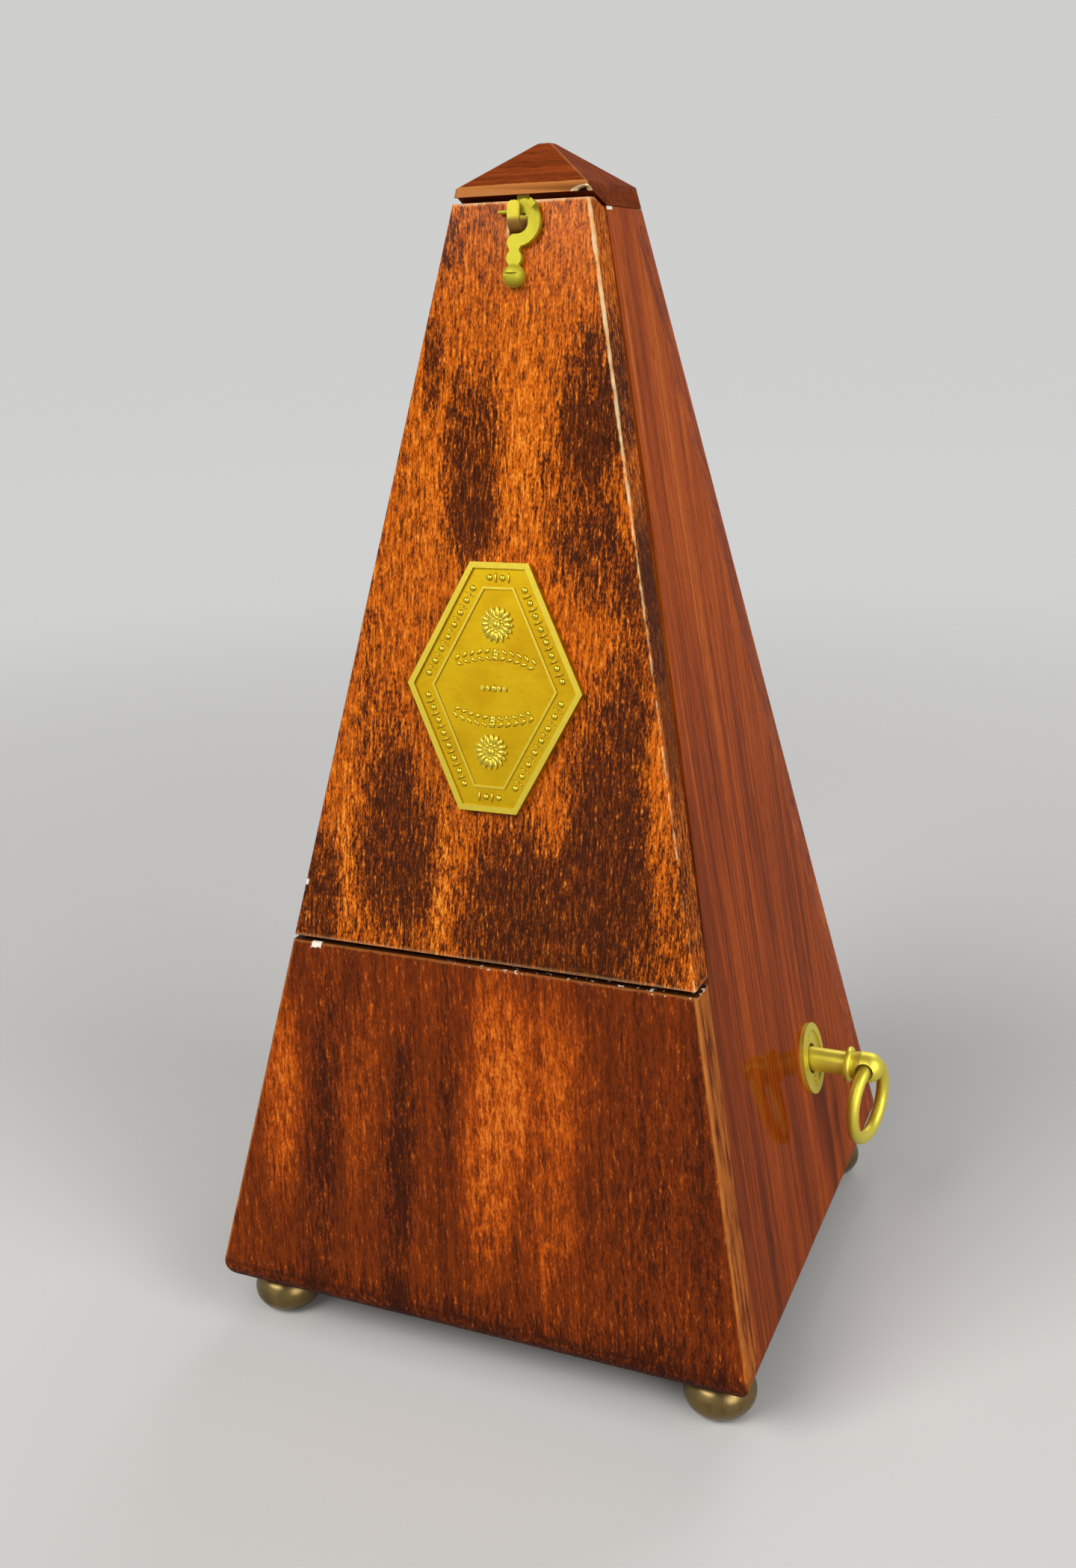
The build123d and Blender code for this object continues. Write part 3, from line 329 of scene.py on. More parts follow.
class Finish:
    """A material and the nodes that make it; a board turns its grain along the piece."""

    def __init__(self, name, board=None):
        self.material = bpy.data.materials.new(name)
        self.material.use_nodes = True
        self.tree = self.material.node_tree
        self.tree.nodes.clear()
        self.out = self.tree.nodes.new("ShaderNodeOutputMaterial")
        point = self.add("ShaderNodeTexCoord", output="Object")
        self.x, self.y, self.z = (
            self.add("ShaderNodeSeparateXYZ", inputs={0: point}, output=letter) * 1000.0 for letter in "XYZ"
        )
        self.half = 1000.0 * base_half - (self.z - case_foot) * lean
        self.front = (self.half + self.y) / secant
        self.side = (self.half - abs(self.x)) / secant
        self.back = (self.half - self.y) / secant
        across, into, along = board(self) if board else (self.x, self.y, self.z)
        self.grain = self.add("ShaderNodeCombineXYZ", inputs={0: across, 1: into, 2: along})

    def add(self, kind, settings=None, inputs=None, output=0):
        node = self.tree.nodes.new(kind)
        for name, value in (settings or {}).items():
            if name == "stops":
                self.set_stops(node.color_ramp, value)
            else:
                setattr(node, name, value)
        for place, value in (inputs or {}).items():
            self.feed(node.inputs[place], value)
        return Signal(self, node.outputs[output])

    def feed(self, socket, value):
        if isinstance(value, Signal):
            self.tree.links.new(value.socket, socket)
        elif isinstance(value, tuple) and len(socket.default_value) == 4:
            socket.default_value = value + (1.0,)
        else:
            socket.default_value = value

    def set_stops(self, ramp, stops):
        while len(ramp.elements) < len(stops):
            ramp.elements.new(0.5)
        for element, (place, colour) in zip(ramp.elements, stops):
            element.position = place
            element.color = colour + (1.0,)

    def ramp(self, value, stops):
        return self.add("ShaderNodeValToRGB", {"stops": stops}, {0: value})

    def step(self, value, low, high):
        """0 below low, 1 above high, smooth between; low may be the larger."""
        inputs = {0: value, 1: low, 2: high}
        return self.add("ShaderNodeMapRange", {"interpolation_type": "SMOOTHSTEP"}, inputs)

    def span(self, value, low, high, soft):
        """1 between low and high, with soft edges."""
        return self.step(value, low - soft, low + soft) * self.step(value, high + soft, high - soft)

    def blend(self, share, first, second):
        settings = {"data_type": "RGBA"}
        return self.add("ShaderNodeMix", settings, {0: share, 6: first, 7: second}, output=2)

    def noise(self, per_mm, detail=2.0, rough=0.5, shift=(0.0, 0.0, 0.0), warp=0.0):
        """Cloudy noise about 0, most of it between -1 and 1, with so many cells in a millimetre."""
        vectors = {0: self.grain, 1: per_mm, 2: shift}
        inputs = {
            "Vector": self.add("ShaderNodeVectorMath", {"operation": "MULTIPLY_ADD"}, vectors),
            "Scale": 1.0,
            "Detail": detail,
            "Roughness": rough,
            "Distortion": warp,
        }
        return (self.add("ShaderNodeTexNoise", inputs=inputs) - 0.5) * 4.0

    def patch(self, x, z, half_x, half_z):
        """1 in the middle of an upright oval, 0 at its edge."""
        across = (self.x - x) / half_x
        along = (self.z - z) / half_z
        return (1.0 - (across * across + along * along) * 0.5).most(0.0)

    def bump(self, height, depth_mm, strength=1.0):
        inputs = {"Height": height, "Distance": depth_mm / 1000.0, "Strength": strength}
        return self.add("ShaderNodeBump", inputs=inputs)

    def surface(self, **sockets):
        """The Principled surface; spaces in a socket's name are written as underscores."""
        inputs = {name.replace("_", " "): value for name, value in sockets.items()}
        shader = self.add("ShaderNodeBsdfPrincipled", inputs=inputs)
        self.tree.links.new(shader.socket, self.out.inputs["Surface"])
        return self.material


# Wood


def front_board(wood):
    """Grain up the slope of the front."""
    return wood.x, wood.front, wood.z * secant


def back_board(wood):
    """Grain up the slope of the back."""
    return wood.x, wood.back, wood.z * secant


def panel_board(wood):
    """Grain up the front panel, leaning a little to the left."""
    return wood.x + wood.z * panel_grain_lean, wood.front, wood.z * secant


def side_board(wood):
    """Grain up a side, leaning with its front edge."""
    return wood.y - wood.z * side_grain_lean, wood.side, wood.z * secant


def lid_board(wood):
    """Grain across the lid from left to right."""
    return wood.y + wood.z * lid_grain_lean, wood.z, wood.x


def polished_wood(
    name, board, tones, tone, fleck, streak, ribbon, curl, pore, patches, wear, coat, gloss, seed
):
    """Mahogany under polish: flecks, streaks, ribbons and curl, dark stains and light patches, and painted
    glints of the lightest tone.
    """
    wood = Finish(name, board)
    shift = (seed, 3.1 * seed, 1.7 * seed)
    flecks = wood.noise(fleck_cells, 2.0, 0.6, shift, 0.3)
    grit = wood.noise(grit_cells, 2.0, 0.6, shift)
    lines = wood.noise(line_cells, 4.0, 0.65, shift, 0.2)
    bands = wood.noise(band_cells, 2.0, 0.55, shift, 0.3)
    clouds = wood.noise(cloud_cells, 5.0, 0.7, shift, 0.5)
    mottles = wood.noise(mottle_cells, 4.0, 0.65, shift, 0.8)
    stain = sum(wood.patch(*oval) * weight for *oval, weight in patches if weight > 0)
    # light sums the light patches: pale figure on the cover and panel, painted light on the sides
    light = sum(wood.patch(*oval) * -weight for *oval, weight in patches if weight < 0)
    ragged = clouds * 0.36 - flecks * 0.26 - grit * 0.22
    stain = wood.step(stain + ragged, 0.12, 1.05) * wood.step(stain, 0.02, 0.30)
    shade = tone + bands * ribbon + lines * streak
    shade = shade + (flecks * 0.40 + grit * 0.34) * fleck * (1.0 + light * 1.2)
    shade = shade + clouds * 0.05 + light * light_lift + mottles * light * curl
    colour = wood.ramp(shade - stain * stain_depth, tones)
    colour = wood.blend(stain * stain_tint, colour, stain_brown)
    # Painted glints: specks of the lightest tone stand for highlights on the flecks, fewer within the
    # stains
    painted_glint = wood.step(flecks + grit * 0.8, 0.70, 1.25) * (1.1 * fleck)
    colour = wood.blend((painted_glint * (1.0 - stain * 0.45)).least(0.8), colour, tones[-1][1])
    pores = wood.noise((pore_cells, pore_cells, pore), 1.0, 0.5, (9.0 + seed, 2.0, 4.0))
    pores = wood.step(pores, 0.50, 0.90)
    colour = wood.blend(pores * pore_tint, colour, pore_and_shade_brown)
    colour, bare = wear(wood, colour)
    return wood.surface(
        Base_Color=colour,
        Roughness=0.42 + grit * 0.05 + pores * 0.12 + bare * 0.2,
        Specular_IOR_Level=0.0,
        Coat_Weight=(coat - pores * (0.4 * coat)) * (1.0 - bare * 0.85),
        Coat_Roughness=gloss,
        Coat_IOR=1.5,
        Normal=wood.bump(flecks * 0.4 + grit * 0.2 - pores - bare * 0.8, 0.03, 0.45),
    )


def cover_wear(wood, colour):
    """Cream line down the right front arris, scuffed notch and edges."""
    ragged = wood.noise((0.5, 0.5, 0.25), 3.0, 0.6) * 0.16
    right = wood.step(wood.x, 0.0, 1.0)
    # A darker band down the cover's side edge between the dark_strip heights
    strip = wood.step(wood.side, 0.5, 0.25) * wood.step(wood.front, 0.9, 1.4)
    strip = strip * wood.span(wood.z + ragged * 30.0, *dark_strip, 9.0)
    colour = wood.blend(strip * 0.70, colour, stain_brown)
    high = wood.step(wood.z, cover_foot + 40.0, cover_top - 5.0)
    from_arris = wood.side + wood.front
    width = 0.28 + high * 0.24 + ragged
    line = wood.step(from_arris - width, 0.14, -0.10) * right
    line = line * (0.72 + wood.noise((0.0, 0.0, 0.10), 2.0) * 0.4).least(1.0)
    left = wood.step(from_arris - ragged * 2.0, 0.30, 0.0) * (1.0 - right) * 0.55
    notch = wood.step(abs(wood.x) + ragged * 2.0, notch_half, notch_half - 0.6)
    notch = notch * wood.step(wood.z, cover_top - notch_deep, cover_top - notch_deep + 1.4)
    top = wood.step(wood.z + ragged * 1.5, cover_top - 0.6, cover_top) * 0.6
    foot = wood.step(wood.z + ragged, cover_foot + 0.7, cover_foot + 0.2) * 0.15
    bare = line.most(left).most(notch).most(top).most(foot).least(1.0)
    pale = wood.blend(wood.step(ragged, -0.15, 0.15), raw_wood, raw_pale)
    colour = wood.blend(bare, colour, pale)
    nick = wood.step(wood.side + ragged * 2.0, 0.9, 0.5) * (1.0 - right)
    nick = nick * wood.span(wood.z + ragged * 3.0, *cover_nick, 0.2)
    return wood.blend(nick, colour, chip_white), bare.most(nick)


def panel_wear(wood, colour):
    """Panel's end grain rubbed orange, with nicked top and bottom edges, painted shade in the top seam and
    along the skirt.
    """
    ragged = wood.noise((0.45, 0.45, 0.2), 3.0, 0.65) * 0.3
    fibre = wood.noise((0.9, 0.9, 0.09), 3.0, 0.6, (3.0, 1.0, 8.0))
    ends = wood.step(wood.side + ragged * 0.6, 0.75, 0.2)
    colour = wood.blend(ends * wood.step(fibre, -0.7, 0.5) * 0.75, colour, rubbed_orange)
    arris = wood.step(wood.side + wood.front - ragged * 1.5, 0.75, 0.1) * 0.55
    seam = wood.step(wood.z + ragged * 0.8, panel_top - 0.5, panel_top - 0.1) * 0.35
    bare = arris.most(seam)
    colour = wood.blend(bare, colour, rubbed_tan)
    # Painted shade: a dark band along the rounded skirt
    skirt_shade = wood.span(wood.z + ragged - case_foot, *skirt_shade_band, 0.5) * 0.45
    colour = wood.blend(skirt_shade, colour, pore_and_shade_brown)
    nick = wood.span(wood.x + ragged * 2.0, *panel_nick, 0.15) * wood.step(wood.front, 1.1, 0.8)
    nick = nick * wood.step(wood.z + ragged * 2.0, panel_top - 1.25, panel_top - 0.85)
    specks = wood.step(wood.noise((0.45, 0.45, 0.45), 1.0, 0.5, (4.0, 4.0, 1.0)), 1.05, 1.15)
    specks = specks * wood.step(wood.z, case_foot + 2.4, case_foot + 1.6)
    # Painted shade: the panel's top edge darkened in the seam under the cover
    seam_shade = wood.step(wood.z, panel_top - 0.14, panel_top - 0.04) * wood.step(wood.front, 0.25, 0.6)
    colour = wood.blend(seam_shade * 0.9, colour, pore_and_shade_brown)
    crumbs = wood.step(wood.noise((0.8, 0.8, 0.8), 2.0, 0.6, (1.0, 7.0, 2.0)), 0.45, 0.65)
    crumbs = crumbs * wood.step(wood.z, panel_top - 0.55, panel_top - 0.30) * wood.step(wood.x, -12.0, 8.0)
    white = nick.most(specks).most(crumbs * 0.8)
    return wood.blend(white, colour, chip_white), bare.most(white)


def wall_wear(wood, colour):
    """Rubbed corners of the walls, and the chip beside the lid."""
    ragged = wood.noise((0.35, 0.35, 0.16), 3.0, 0.6) * 0.3
    corner = wood.step(wood.side + wood.front.least(wood.back) - ragged, 0.6, 0.0) * 0.5
    foot = wood.step(wood.z + ragged * 2.0, case_foot + 1.4, case_foot + 0.3) * 0.3
    bare = corner.most(foot)
    colour = wood.blend(bare, colour, rubbed_orange)
    chip = wood.span(wood.front + ragged, *wall_chip, 0.15) * wood.step(wood.x, 0.0, 1.0)
    chip = chip * wood.step(wood.z + ragged * 0.4, wall_top - 0.62, wall_top - 0.5)
    chip = chip * wood.step(wood.side, 1.4, 1.1)
    return wood.blend(chip, colour, chip_white), bare.most(chip)


def lid_wear(wood, colour):
    """Tan front rim, rubbed hips and the chipped corner, raw wood at its rim and painted shade deeper in
    the hollow.
    """
    ragged = wood.noise((0.5, 0.5, 0.3), 3.0, 0.6) * 0.25
    rim = wood.step(wood.front + ragged * 0.5, 0.55, 0.25)
    rim = rim * wood.step(wood.z, lid_rim + 0.9, lid_rim + 0.4)
    colour = wood.blend(rim * 0.7, colour, rubbed_tan)
    hip = wood.step(abs(abs(wood.x) - abs(wood.y)) + ragged, 0.5, 0.0) * 0.25
    above_rim = wood.step(wood.z, lid_rim - 0.2, lid_rim + 0.2)
    colour = wood.blend(hip * above_rim, colour, rubbed_orange)
    gouge = 0.0
    for place, middle, half in zip((wood.x, wood.y, wood.z), chip_at, chip_half):
        away = (place - 1000.0 * middle) / (1000.0 * half)
        gouge = gouge + away * away
    chip = wood.step(gouge + ragged * 0.5, 1.32, 1.18)
    # Painted shade: the gouge is dark brown in the hollow and raw pale wood only at its rim
    hollow_shade = wood.step(wood.front + ragged, 0.45, 0.95) * wood.step(wood.side + ragged, 0.35, 0.8)
    raw_and_shade = wood.blend(hollow_shade, raw_pale, pore_and_shade_brown)
    return wood.blend(chip, colour, raw_and_shade), rim * 0.4 + chip * 0.6


def plain_wood(name):
    """Unpolished softwood of the inside pieces."""
    wood = Finish(name)
    rings = wood.noise((0.35, 0.35, 0.02), 3.0, 0.6, (5.0, 1.0, 2.0), 0.3)
    fibre = wood.noise((2.5, 2.5, 0.12), 2.0, 0.6)
    return wood.surface(
        Base_Color=wood.ramp(0.5 + rings * 0.22 + fibre * 0.12, softwood_tones),
        Roughness=0.72 + fibre * 0.06,
        Normal=wood.bump(fibre, 0.04, 0.5),
    )


# Metal and card


def brass(name, bright, dull, rough, grain=1.0, tarnish=0.25, shade_below=None):
    """Yellow brass with fine rubbing marks and a patchy film of tarnish, and bronze painted shade below a
    given height.
    """
    metal = Finish(name)
    film = metal.step(metal.noise((0.22, 0.22, 0.22), 4.0, 0.65), -0.3, 1.0)
    marks = metal.noise((1.2, 6.0, 6.0), 3.0, 0.6, (2.0, 0.0, 5.0))
    specks = metal.step(metal.noise((1.6, 1.6, 1.6), 2.0, 0.5, (7.0, 3.0, 1.0)), 0.9, 1.3)
    share = (film * tarnish + specks * 0.35).least(1.0)
    colour = metal.blend(share, bright, dull)
    # Painted shade: bronze below the given height, where the catch's curl faces down
    if shade_below:
        curl = metal.step(metal.z, shade_below + 0.5, shade_below - 0.5)
        colour = metal.blend(curl, colour, curl_shade_bronze)
    return metal.surface(
        Base_Color=colour,
        Metallic=0.78,
        Roughness=rough + film * 0.10 + marks * (0.035 * grain),
        Normal=metal.bump(marks + specks * -0.6, 0.01 * grain, 0.5),
    )


def plaque_brass(name):
    """Pressed plaque: paler on what stands proud, partly its own tone and partly painted highlight; deeper
    gold in the sunk field.
    """
    metal = Finish(name)
    proud = metal.step(metal.front, -1.28, -1.44)
    film = metal.step(metal.noise((0.12, 0.12, 0.12), 4.0, 0.6), -0.5, 1.1)
    grime = metal.noise((0.9, 0.9, 0.9), 3.0, 0.6)
    field = metal.blend(film, plaque_gold, plaque_film)
    field = metal.blend(metal.step(grime, 0.35, 1.2) * 0.3, field, plaque_grime)
    return metal.surface(
        Base_Color=metal.blend(proud, field, plaque_proud_and_highlight),
        Metallic=1.0,
        Roughness=0.46 - proud * 0.14 + film * 0.05,
        Normal=metal.bump(grime, 0.02, 0.4),
    )


def steel(name, light, dark, rough):
    """Steel with drawn lines and a few stains."""
    metal = Finish(name)
    drawn = metal.noise((0.6, 5.0, 5.0), 3.0, 0.6)
    stain = metal.step(metal.noise((0.3, 0.3, 0.3), 4.0, 0.6), 0.1, 1.2)
    return metal.surface(
        Base_Color=metal.blend(stain * 0.6, light, dark),
        Metallic=1.0,
        Roughness=rough + drawn * 0.04 + stain * 0.12,
        Normal=metal.bump(drawn, 0.008, 0.4),
    )


def card(name):
    """Cream tempo card, browned in places."""
    paper = Finish(name)
    fibre = paper.noise((0.8, 0.8, 0.8), 3.0, 0.6)
    spots = paper.step(paper.noise((0.15, 0.15, 0.15), 3.0, 0.6, (2.0, 6.0, 1.0)), 0.3, 1.3)
    ground = paper.blend(paper.step(fibre, -0.8, 0.8), card_shade, card_cream)
    return paper.surface(
        Base_Color=paper.blend(spots * 0.5, ground, card_brown),
        Roughness=0.7 + fibre * 0.05,
        Normal=paper.bump(fibre, 0.01, 0.3),
    )


def ink(name):
    """Black print, worn thin in places."""
    print_ink = Finish(name)
    worn = print_ink.step(print_ink.noise((1.1, 1.1, 1.1), 3.0, 0.6), 0.2, 1.2)
    return print_ink.surface(
        Base_Color=print_ink.blend(worn * 0.5, ink_black, ink_worn),
        Roughness=0.6 + worn * 0.15,
    )


def dress(names, material):
    """Gives the named CAD pieces their finish."""
    for name in names.split():
        slots = nodes[name].data.materials
        slots.clear()
        slots.append(material)


# Modelled pieces


def only(piece):
    """Deselects everything else and makes this piece the active one."""
    bpy.ops.object.select_all(action="DESELECT")
    piece.select_set(True)
    bpy.context.view_layer.objects.active = piece


def front_place(x, up, lift):
    """Matrix from (across, up the slope, outward) at a point of the front to the frame."""
    across = Vector((1, 0, 0))
    upward = Vector((0, lean, 1)) / secant
    outward = Vector((0, -1, lean)) / secant
    foot = Vector((x, -base_half, foot_h))
    turn = Matrix((across, upward, outward)).transposed().to_4x4()
    return Matrix.Translation(foot + upward * up + outward * lift) @ turn


def bead_mould():
    """A round bead with a flat underside."""
    bpy.ops.object.select_all(action="DESELECT")
    bpy.ops.mesh.primitive_uv_sphere_add(segments=12, ring_count=8, radius=1.0)
    bead = bpy.context.object
    bpy.ops.object.mode_set(mode="EDIT")
    bpy.ops.mesh.select_all(action="SELECT")
    bpy.ops.mesh.bisect(plane_co=(0, 0, bead_cut), plane_no=(0, 0, 1), clear_inner=True, use_fill=True)
    bpy.ops.mesh.select_all(action="SELECT")
    bpy.ops.transform.resize(value=(bead_r, bead_r, bead_h), center_override=(0, 0, 0))
    bpy.ops.object.mode_set(mode="OBJECT")
    bpy.ops.object.shade_smooth_by_angle(angle=radians(40))
    return bead


def leaf_mould():
    """A pointed leaf, its stalk end at the origin and its tip along Y."""
    bpy.ops.object.select_all(action="DESELECT")
    bpy.ops.mesh.primitive_cone_add(
        vertices=8, radius1=1.0, radius2=0.0, depth=leaf_point, location=(0, 0, leaf_point / 2)
    )
    leaf = bpy.context.object
    bpy.ops.object.transform_apply(location=True)
    bpy.ops.object.mode_set(mode="EDIT")
    bpy.ops.mesh.select_mode(type="FACE")
    bpy.ops.mesh.select_all(action="DESELECT")
    bpy.ops.object.mode_set(mode="OBJECT")
    for face in leaf.data.polygons:
        face.select = face.normal.z < -0.9
    bpy.ops.object.mode_set(mode="EDIT")
    bpy.ops.mesh.extrude_region_move(TRANSFORM_OT_translate={"value": (0, 0, -leaf_stalk)})
    bpy.ops.mesh.merge(type="CENTER")
    bpy.ops.mesh.select_all(action="SELECT")
    bpy.ops.transform.translate(value=(0, 0, leaf_stalk))
    bpy.ops.transform.rotate(value=radians(90), orient_axis="X", center_override=(0, 0, 0))
    bpy.ops.transform.resize(value=(leaf_w / 2, leaf_len / 2, leaf_h), center_override=(0, 0, 0))
    bpy.ops.mesh.normals_make_consistent(inside=False)
    bpy.ops.object.mode_set(mode="OBJECT")
    round_off = leaf.modifiers.new("round_off", "SUBSURF")
    round_off.levels = 1
    round_off.render_levels = 1
    bpy.ops.object.modifier_apply(modifier="round_off")
    bpy.ops.object.shade_smooth()
    if max(vertex.co.y for vertex in leaf.data.vertices) < leaf_len / 4:
        leaf.data.transform(Matrix.Rotation(pi, 4, "Z"))
    return leaf


def stamp(mould, place):
    """A copy of the mould, with its own mesh, at its place in the frame."""
    mesh = mould.data.copy()
    mesh.transform(place)
    copy = bpy.data.objects.new(mould.name, mesh)
    bpy.context.scene.collection.objects.link(copy)
    return copy


def joined(name, parts, moulds=()):
    """One piece from many; the moulds go."""
    bpy.ops.object.select_all(action="DESELECT")
    for part in parts:
        part.select_set(True)
    bpy.context.view_layer.objects.active = parts[0]
    bpy.ops.object.join()
    piece = parts[0]
    piece.name = name
    piece.data.name = name
    for mould in moulds:
        bpy.data.objects.remove(mould)
    return piece


def stretched(shape):
    """Matrix that stretches a mould across, along and outward."""
    return Matrix.Diagonal((*shape, 1.0))


def border_corners():
    """Corners of the plaque's border, across and up from its middle."""
    run = plaque_waist - plaque_end
    slant = hypot(run, plaque_tall)
    end = plaque_end - border_in * (slant - run) / plaque_tall
    waist = plaque_waist - border_in * slant / plaque_tall
    tall = plaque_tall - border_in
    return [(-end, tall), (end, tall), (waist, 0.0), (end, -tall), (-end, -tall), (-waist, 0.0)]


def border_beads(bead):
    """Bead-and-reel along the six sides of the plaque's border."""
    beads = []
    corners = border_corners()
    for (x0, up0), (x1, up1) in zip(corners, corners[1:] + corners[:1]):
        length = hypot(x1 - x0, up1 - up0)
        turn = Matrix.Rotation(-Vector((1, 0)).angle_signed(Vector((x1 - x0, up1 - up0))), 4, "Z")
        count = int((length - 2 * border_end_gap) / bead_pitch)
        for number in range(count + 1):
            share = 0.5 + (number - count / 2) * bead_pitch / length
            place = front_place(x0 + (x1 - x0) * share, plaque_up + up0 + (up1 - up0) * share, plaque_t)
            shape = stretched(reel) if number % 2 else Matrix.Identity(4)
            beads.append(stamp(bead, place @ turn @ shape))
    return beads


def laurel(leaf, bead, above):
    """Two sprays of paired leaves from a bead, bowed towards the rosette above (1) or below (-1)."""
    parts = []
    for hand in (1, -1):
        for pair in range(laurel_pairs):
            angle = radians(laurel_first + laurel_step * pair) * hand
            x = laurel_r * sin(angle)
            up = plaque_up + above * (laurel_crown - laurel_r * (1 - cos(angle)))
            along = -angle * above + hand * pi / 2
            for tilt in (-leaf_tilt, leaf_tilt):
                turn = Matrix.Rotation(along + radians(tilt), 4, "Z")
                parts.append(stamp(leaf, front_place(x, up, plaque_t) @ turn))
    parts.append(stamp(bead, front_place(0.0, plaque_up + above * laurel_crown, plaque_t)))
    return parts


def rosette(bead, above):
    """A daisy of two rings of petals round a boss."""
    centre = front_place(0.0, plaque_up + above * rosette_at, rosette_lift)
    parts = []
    for count, ring_r, shape in petal_rings:
        outward = Matrix.Translation((0, ring_r, 0))
        for number in range(count):
            turn = Matrix.Rotation(2 * pi * number / count, 4, "Z")
            parts.append(stamp(bead, centre @ turn @ outward @ stretched(shape)))
    parts.append(stamp(bead, centre @ stretched(boss)))
    return parts


def plaque_beading(finish):
    """The plaque's pressed ornament: beaded border, rosettes, laurel and a flourish in the middle."""
    bead = bead_mould()
    leaf = leaf_mould()
    parts = border_beads(bead)
    for above in (1, -1):
        parts += laurel(leaf, bead, above) + rosette(bead, above)
    for x, shape in flourish:
        for hand in (1, -1) if x else (1,):
            parts.append(stamp(bead, front_place(hand * x, plaque_up, plaque_t) @ stretched(shape)))
    piece = joined("plaque_beading", parts, (bead, leaf))
    piece.data.materials.clear()
    piece.data.materials.append(finish)
    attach(piece, "cover")


def worn_lid(finish):
    """The lid with a ragged chip out of its front right corner."""
    mesh = nodes["lid"].data.copy()
    piece = bpy.data.objects.new("lid_worn", mesh)
    bpy.context.scene.collection.objects.link(piece)
    only(piece)
    bpy.ops.object.mode_set(mode="EDIT")
    bpy.ops.mesh.select_all(action="SELECT")
    bpy.ops.mesh.remove_doubles(threshold=1e-6)
    bpy.ops.object.mode_set(mode="OBJECT")
    bpy.ops.object.select_all(action="DESELECT")
    bpy.ops.mesh.primitive_ico_sphere_add(subdivisions=3, radius=1.0, location=chip_at, scale=chip_half)
    gouge = bpy.context.object
    bpy.ops.object.transform_apply(location=True, scale=True)
    bpy.ops.object.mode_set(mode="EDIT")
    bpy.ops.mesh.select_all(action="SELECT")
    bpy.ops.transform.vertex_random(offset=chip_rough, seed=chip_seed)
    bpy.ops.object.mode_set(mode="OBJECT")
    only(piece)
    chip = piece.modifiers.new("chip", "BOOLEAN")
    chip.operation = "DIFFERENCE"
    chip.solver = "EXACT"
    chip.object = gouge
    bpy.ops.object.modifier_apply(modifier="chip")
    bpy.data.objects.remove(gouge)
    bpy.ops.object.shade_smooth_by_angle(angle=radians(25))
    piece.data.materials.clear()
    piece.data.materials.append(finish)
    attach(piece, "lid")
    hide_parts("lid")


def tempo_figure(beats, place):
    """One number of the tempo card, as a thin mesh."""
    bpy.ops.object.select_all(action="DESELECT")
    bpy.ops.object.text_add()
    figure = bpy.context.object
    figure.data.body = str(beats)
    figure.data.size = number_h
    figure.data.align_x = "CENTER"
    figure.data.align_y = "CENTER"
    figure.data.extrude = ink_t
    figure.data.resolution_u = 2
    bpy.ops.object.convert(target="MESH")
    figure.data.transform(place)
    return figure


def tempo_line(place):
    """The short line beside a number."""
    bpy.ops.object.select_all(action="DESELECT")
    bpy.ops.mesh.primitive_cube_add(size=1.0)
    line = bpy.context.object
    bpy.ops.object.mode_set(mode="EDIT")
    bpy.ops.mesh.select_all(action="SELECT")
    bpy.ops.transform.resize(value=(line_w, line_h, 2 * ink_t), center_override=(0, 0, 0))
    bpy.ops.object.mode_set(mode="OBJECT")
    line.data.transform(place)
    return line


def tempo_numbers(finish):
    """Beats in a minute down the tempo card, in two columns, each with its line."""
    low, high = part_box("scale_plate")
    up_low = (low[2] - foot_h) * secant + scale_depth * lean + scale_margin
    up_high = (high[2] - foot_h) * secant + scale_depth * lean - scale_margin
    pitch = (up_high - up_low) / (len(tempo_marks) - 1)
    parts = []
    for number, beats in enumerate(tempo_marks):
        hand = -1 if number % 2 else 1
        place = front_place(hand * number_x, up_high - number * pitch, -scale_depth)
        parts.append(tempo_figure(beats, place))
        parts.append(tempo_line(place @ Matrix.Translation((-hand * line_in, 0, 0))))
    piece = joined("tempo_numbers", parts)
    piece.data.materials.clear()
    piece.data.materials.append(finish)
    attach(piece, "case")


# Finishes on the pieces
cover_wood = polished_wood(
    "cover_wood", front_board, cover_tones, tone=0.53, fleck=0.95, streak=0.13, ribbon=0.07, curl=0.0,
    pore=0.30, patches=cover_patches, wear=cover_wear, coat=0.12, gloss=0.16, seed=1.3,
)
panel_wood = polished_wood(
    "panel_wood", panel_board, panel_tones, tone=0.38, fleck=0.40, streak=0.14, ribbon=0.06, curl=0.18,
    pore=0.14, patches=panel_patches, wear=panel_wear, coat=0.15, gloss=0.12, seed=4.1,
)
side_wood = polished_wood(
    "side_wood", side_board, side_tones, tone=0.50, fleck=0.14, streak=0.34, ribbon=0.24, curl=0.0,
    pore=0.12, patches=side_painted_light, wear=wall_wear, coat=0.16, gloss=0.05, seed=7.7,
)
back_wood = polished_wood(
    "back_wood", back_board, side_tones, tone=0.52, fleck=0.12, streak=0.30, ribbon=0.20, curl=0.0,
    pore=0.12, patches=(), wear=wall_wear, coat=0.22, gloss=0.06, seed=5.3,
)
lid_wood = polished_wood(
    "lid_wood", lid_board, lid_tones, tone=0.39, fleck=0.16, streak=0.16, ribbon=0.10, curl=0.0,
    pore=0.20, patches=(), wear=lid_wear, coat=0.06, gloss=0.10, seed=2.9,
)
bare_wood = plain_wood("inner_wood")
bright_brass = brass("bright_brass", (0.72, 0.61, 0.068), (0.60, 0.455, 0.042), 0.44)
hook_brass = brass("hook_brass", (0.46, 0.415, 0.031), (0.365, 0.290, 0.019), 0.66)
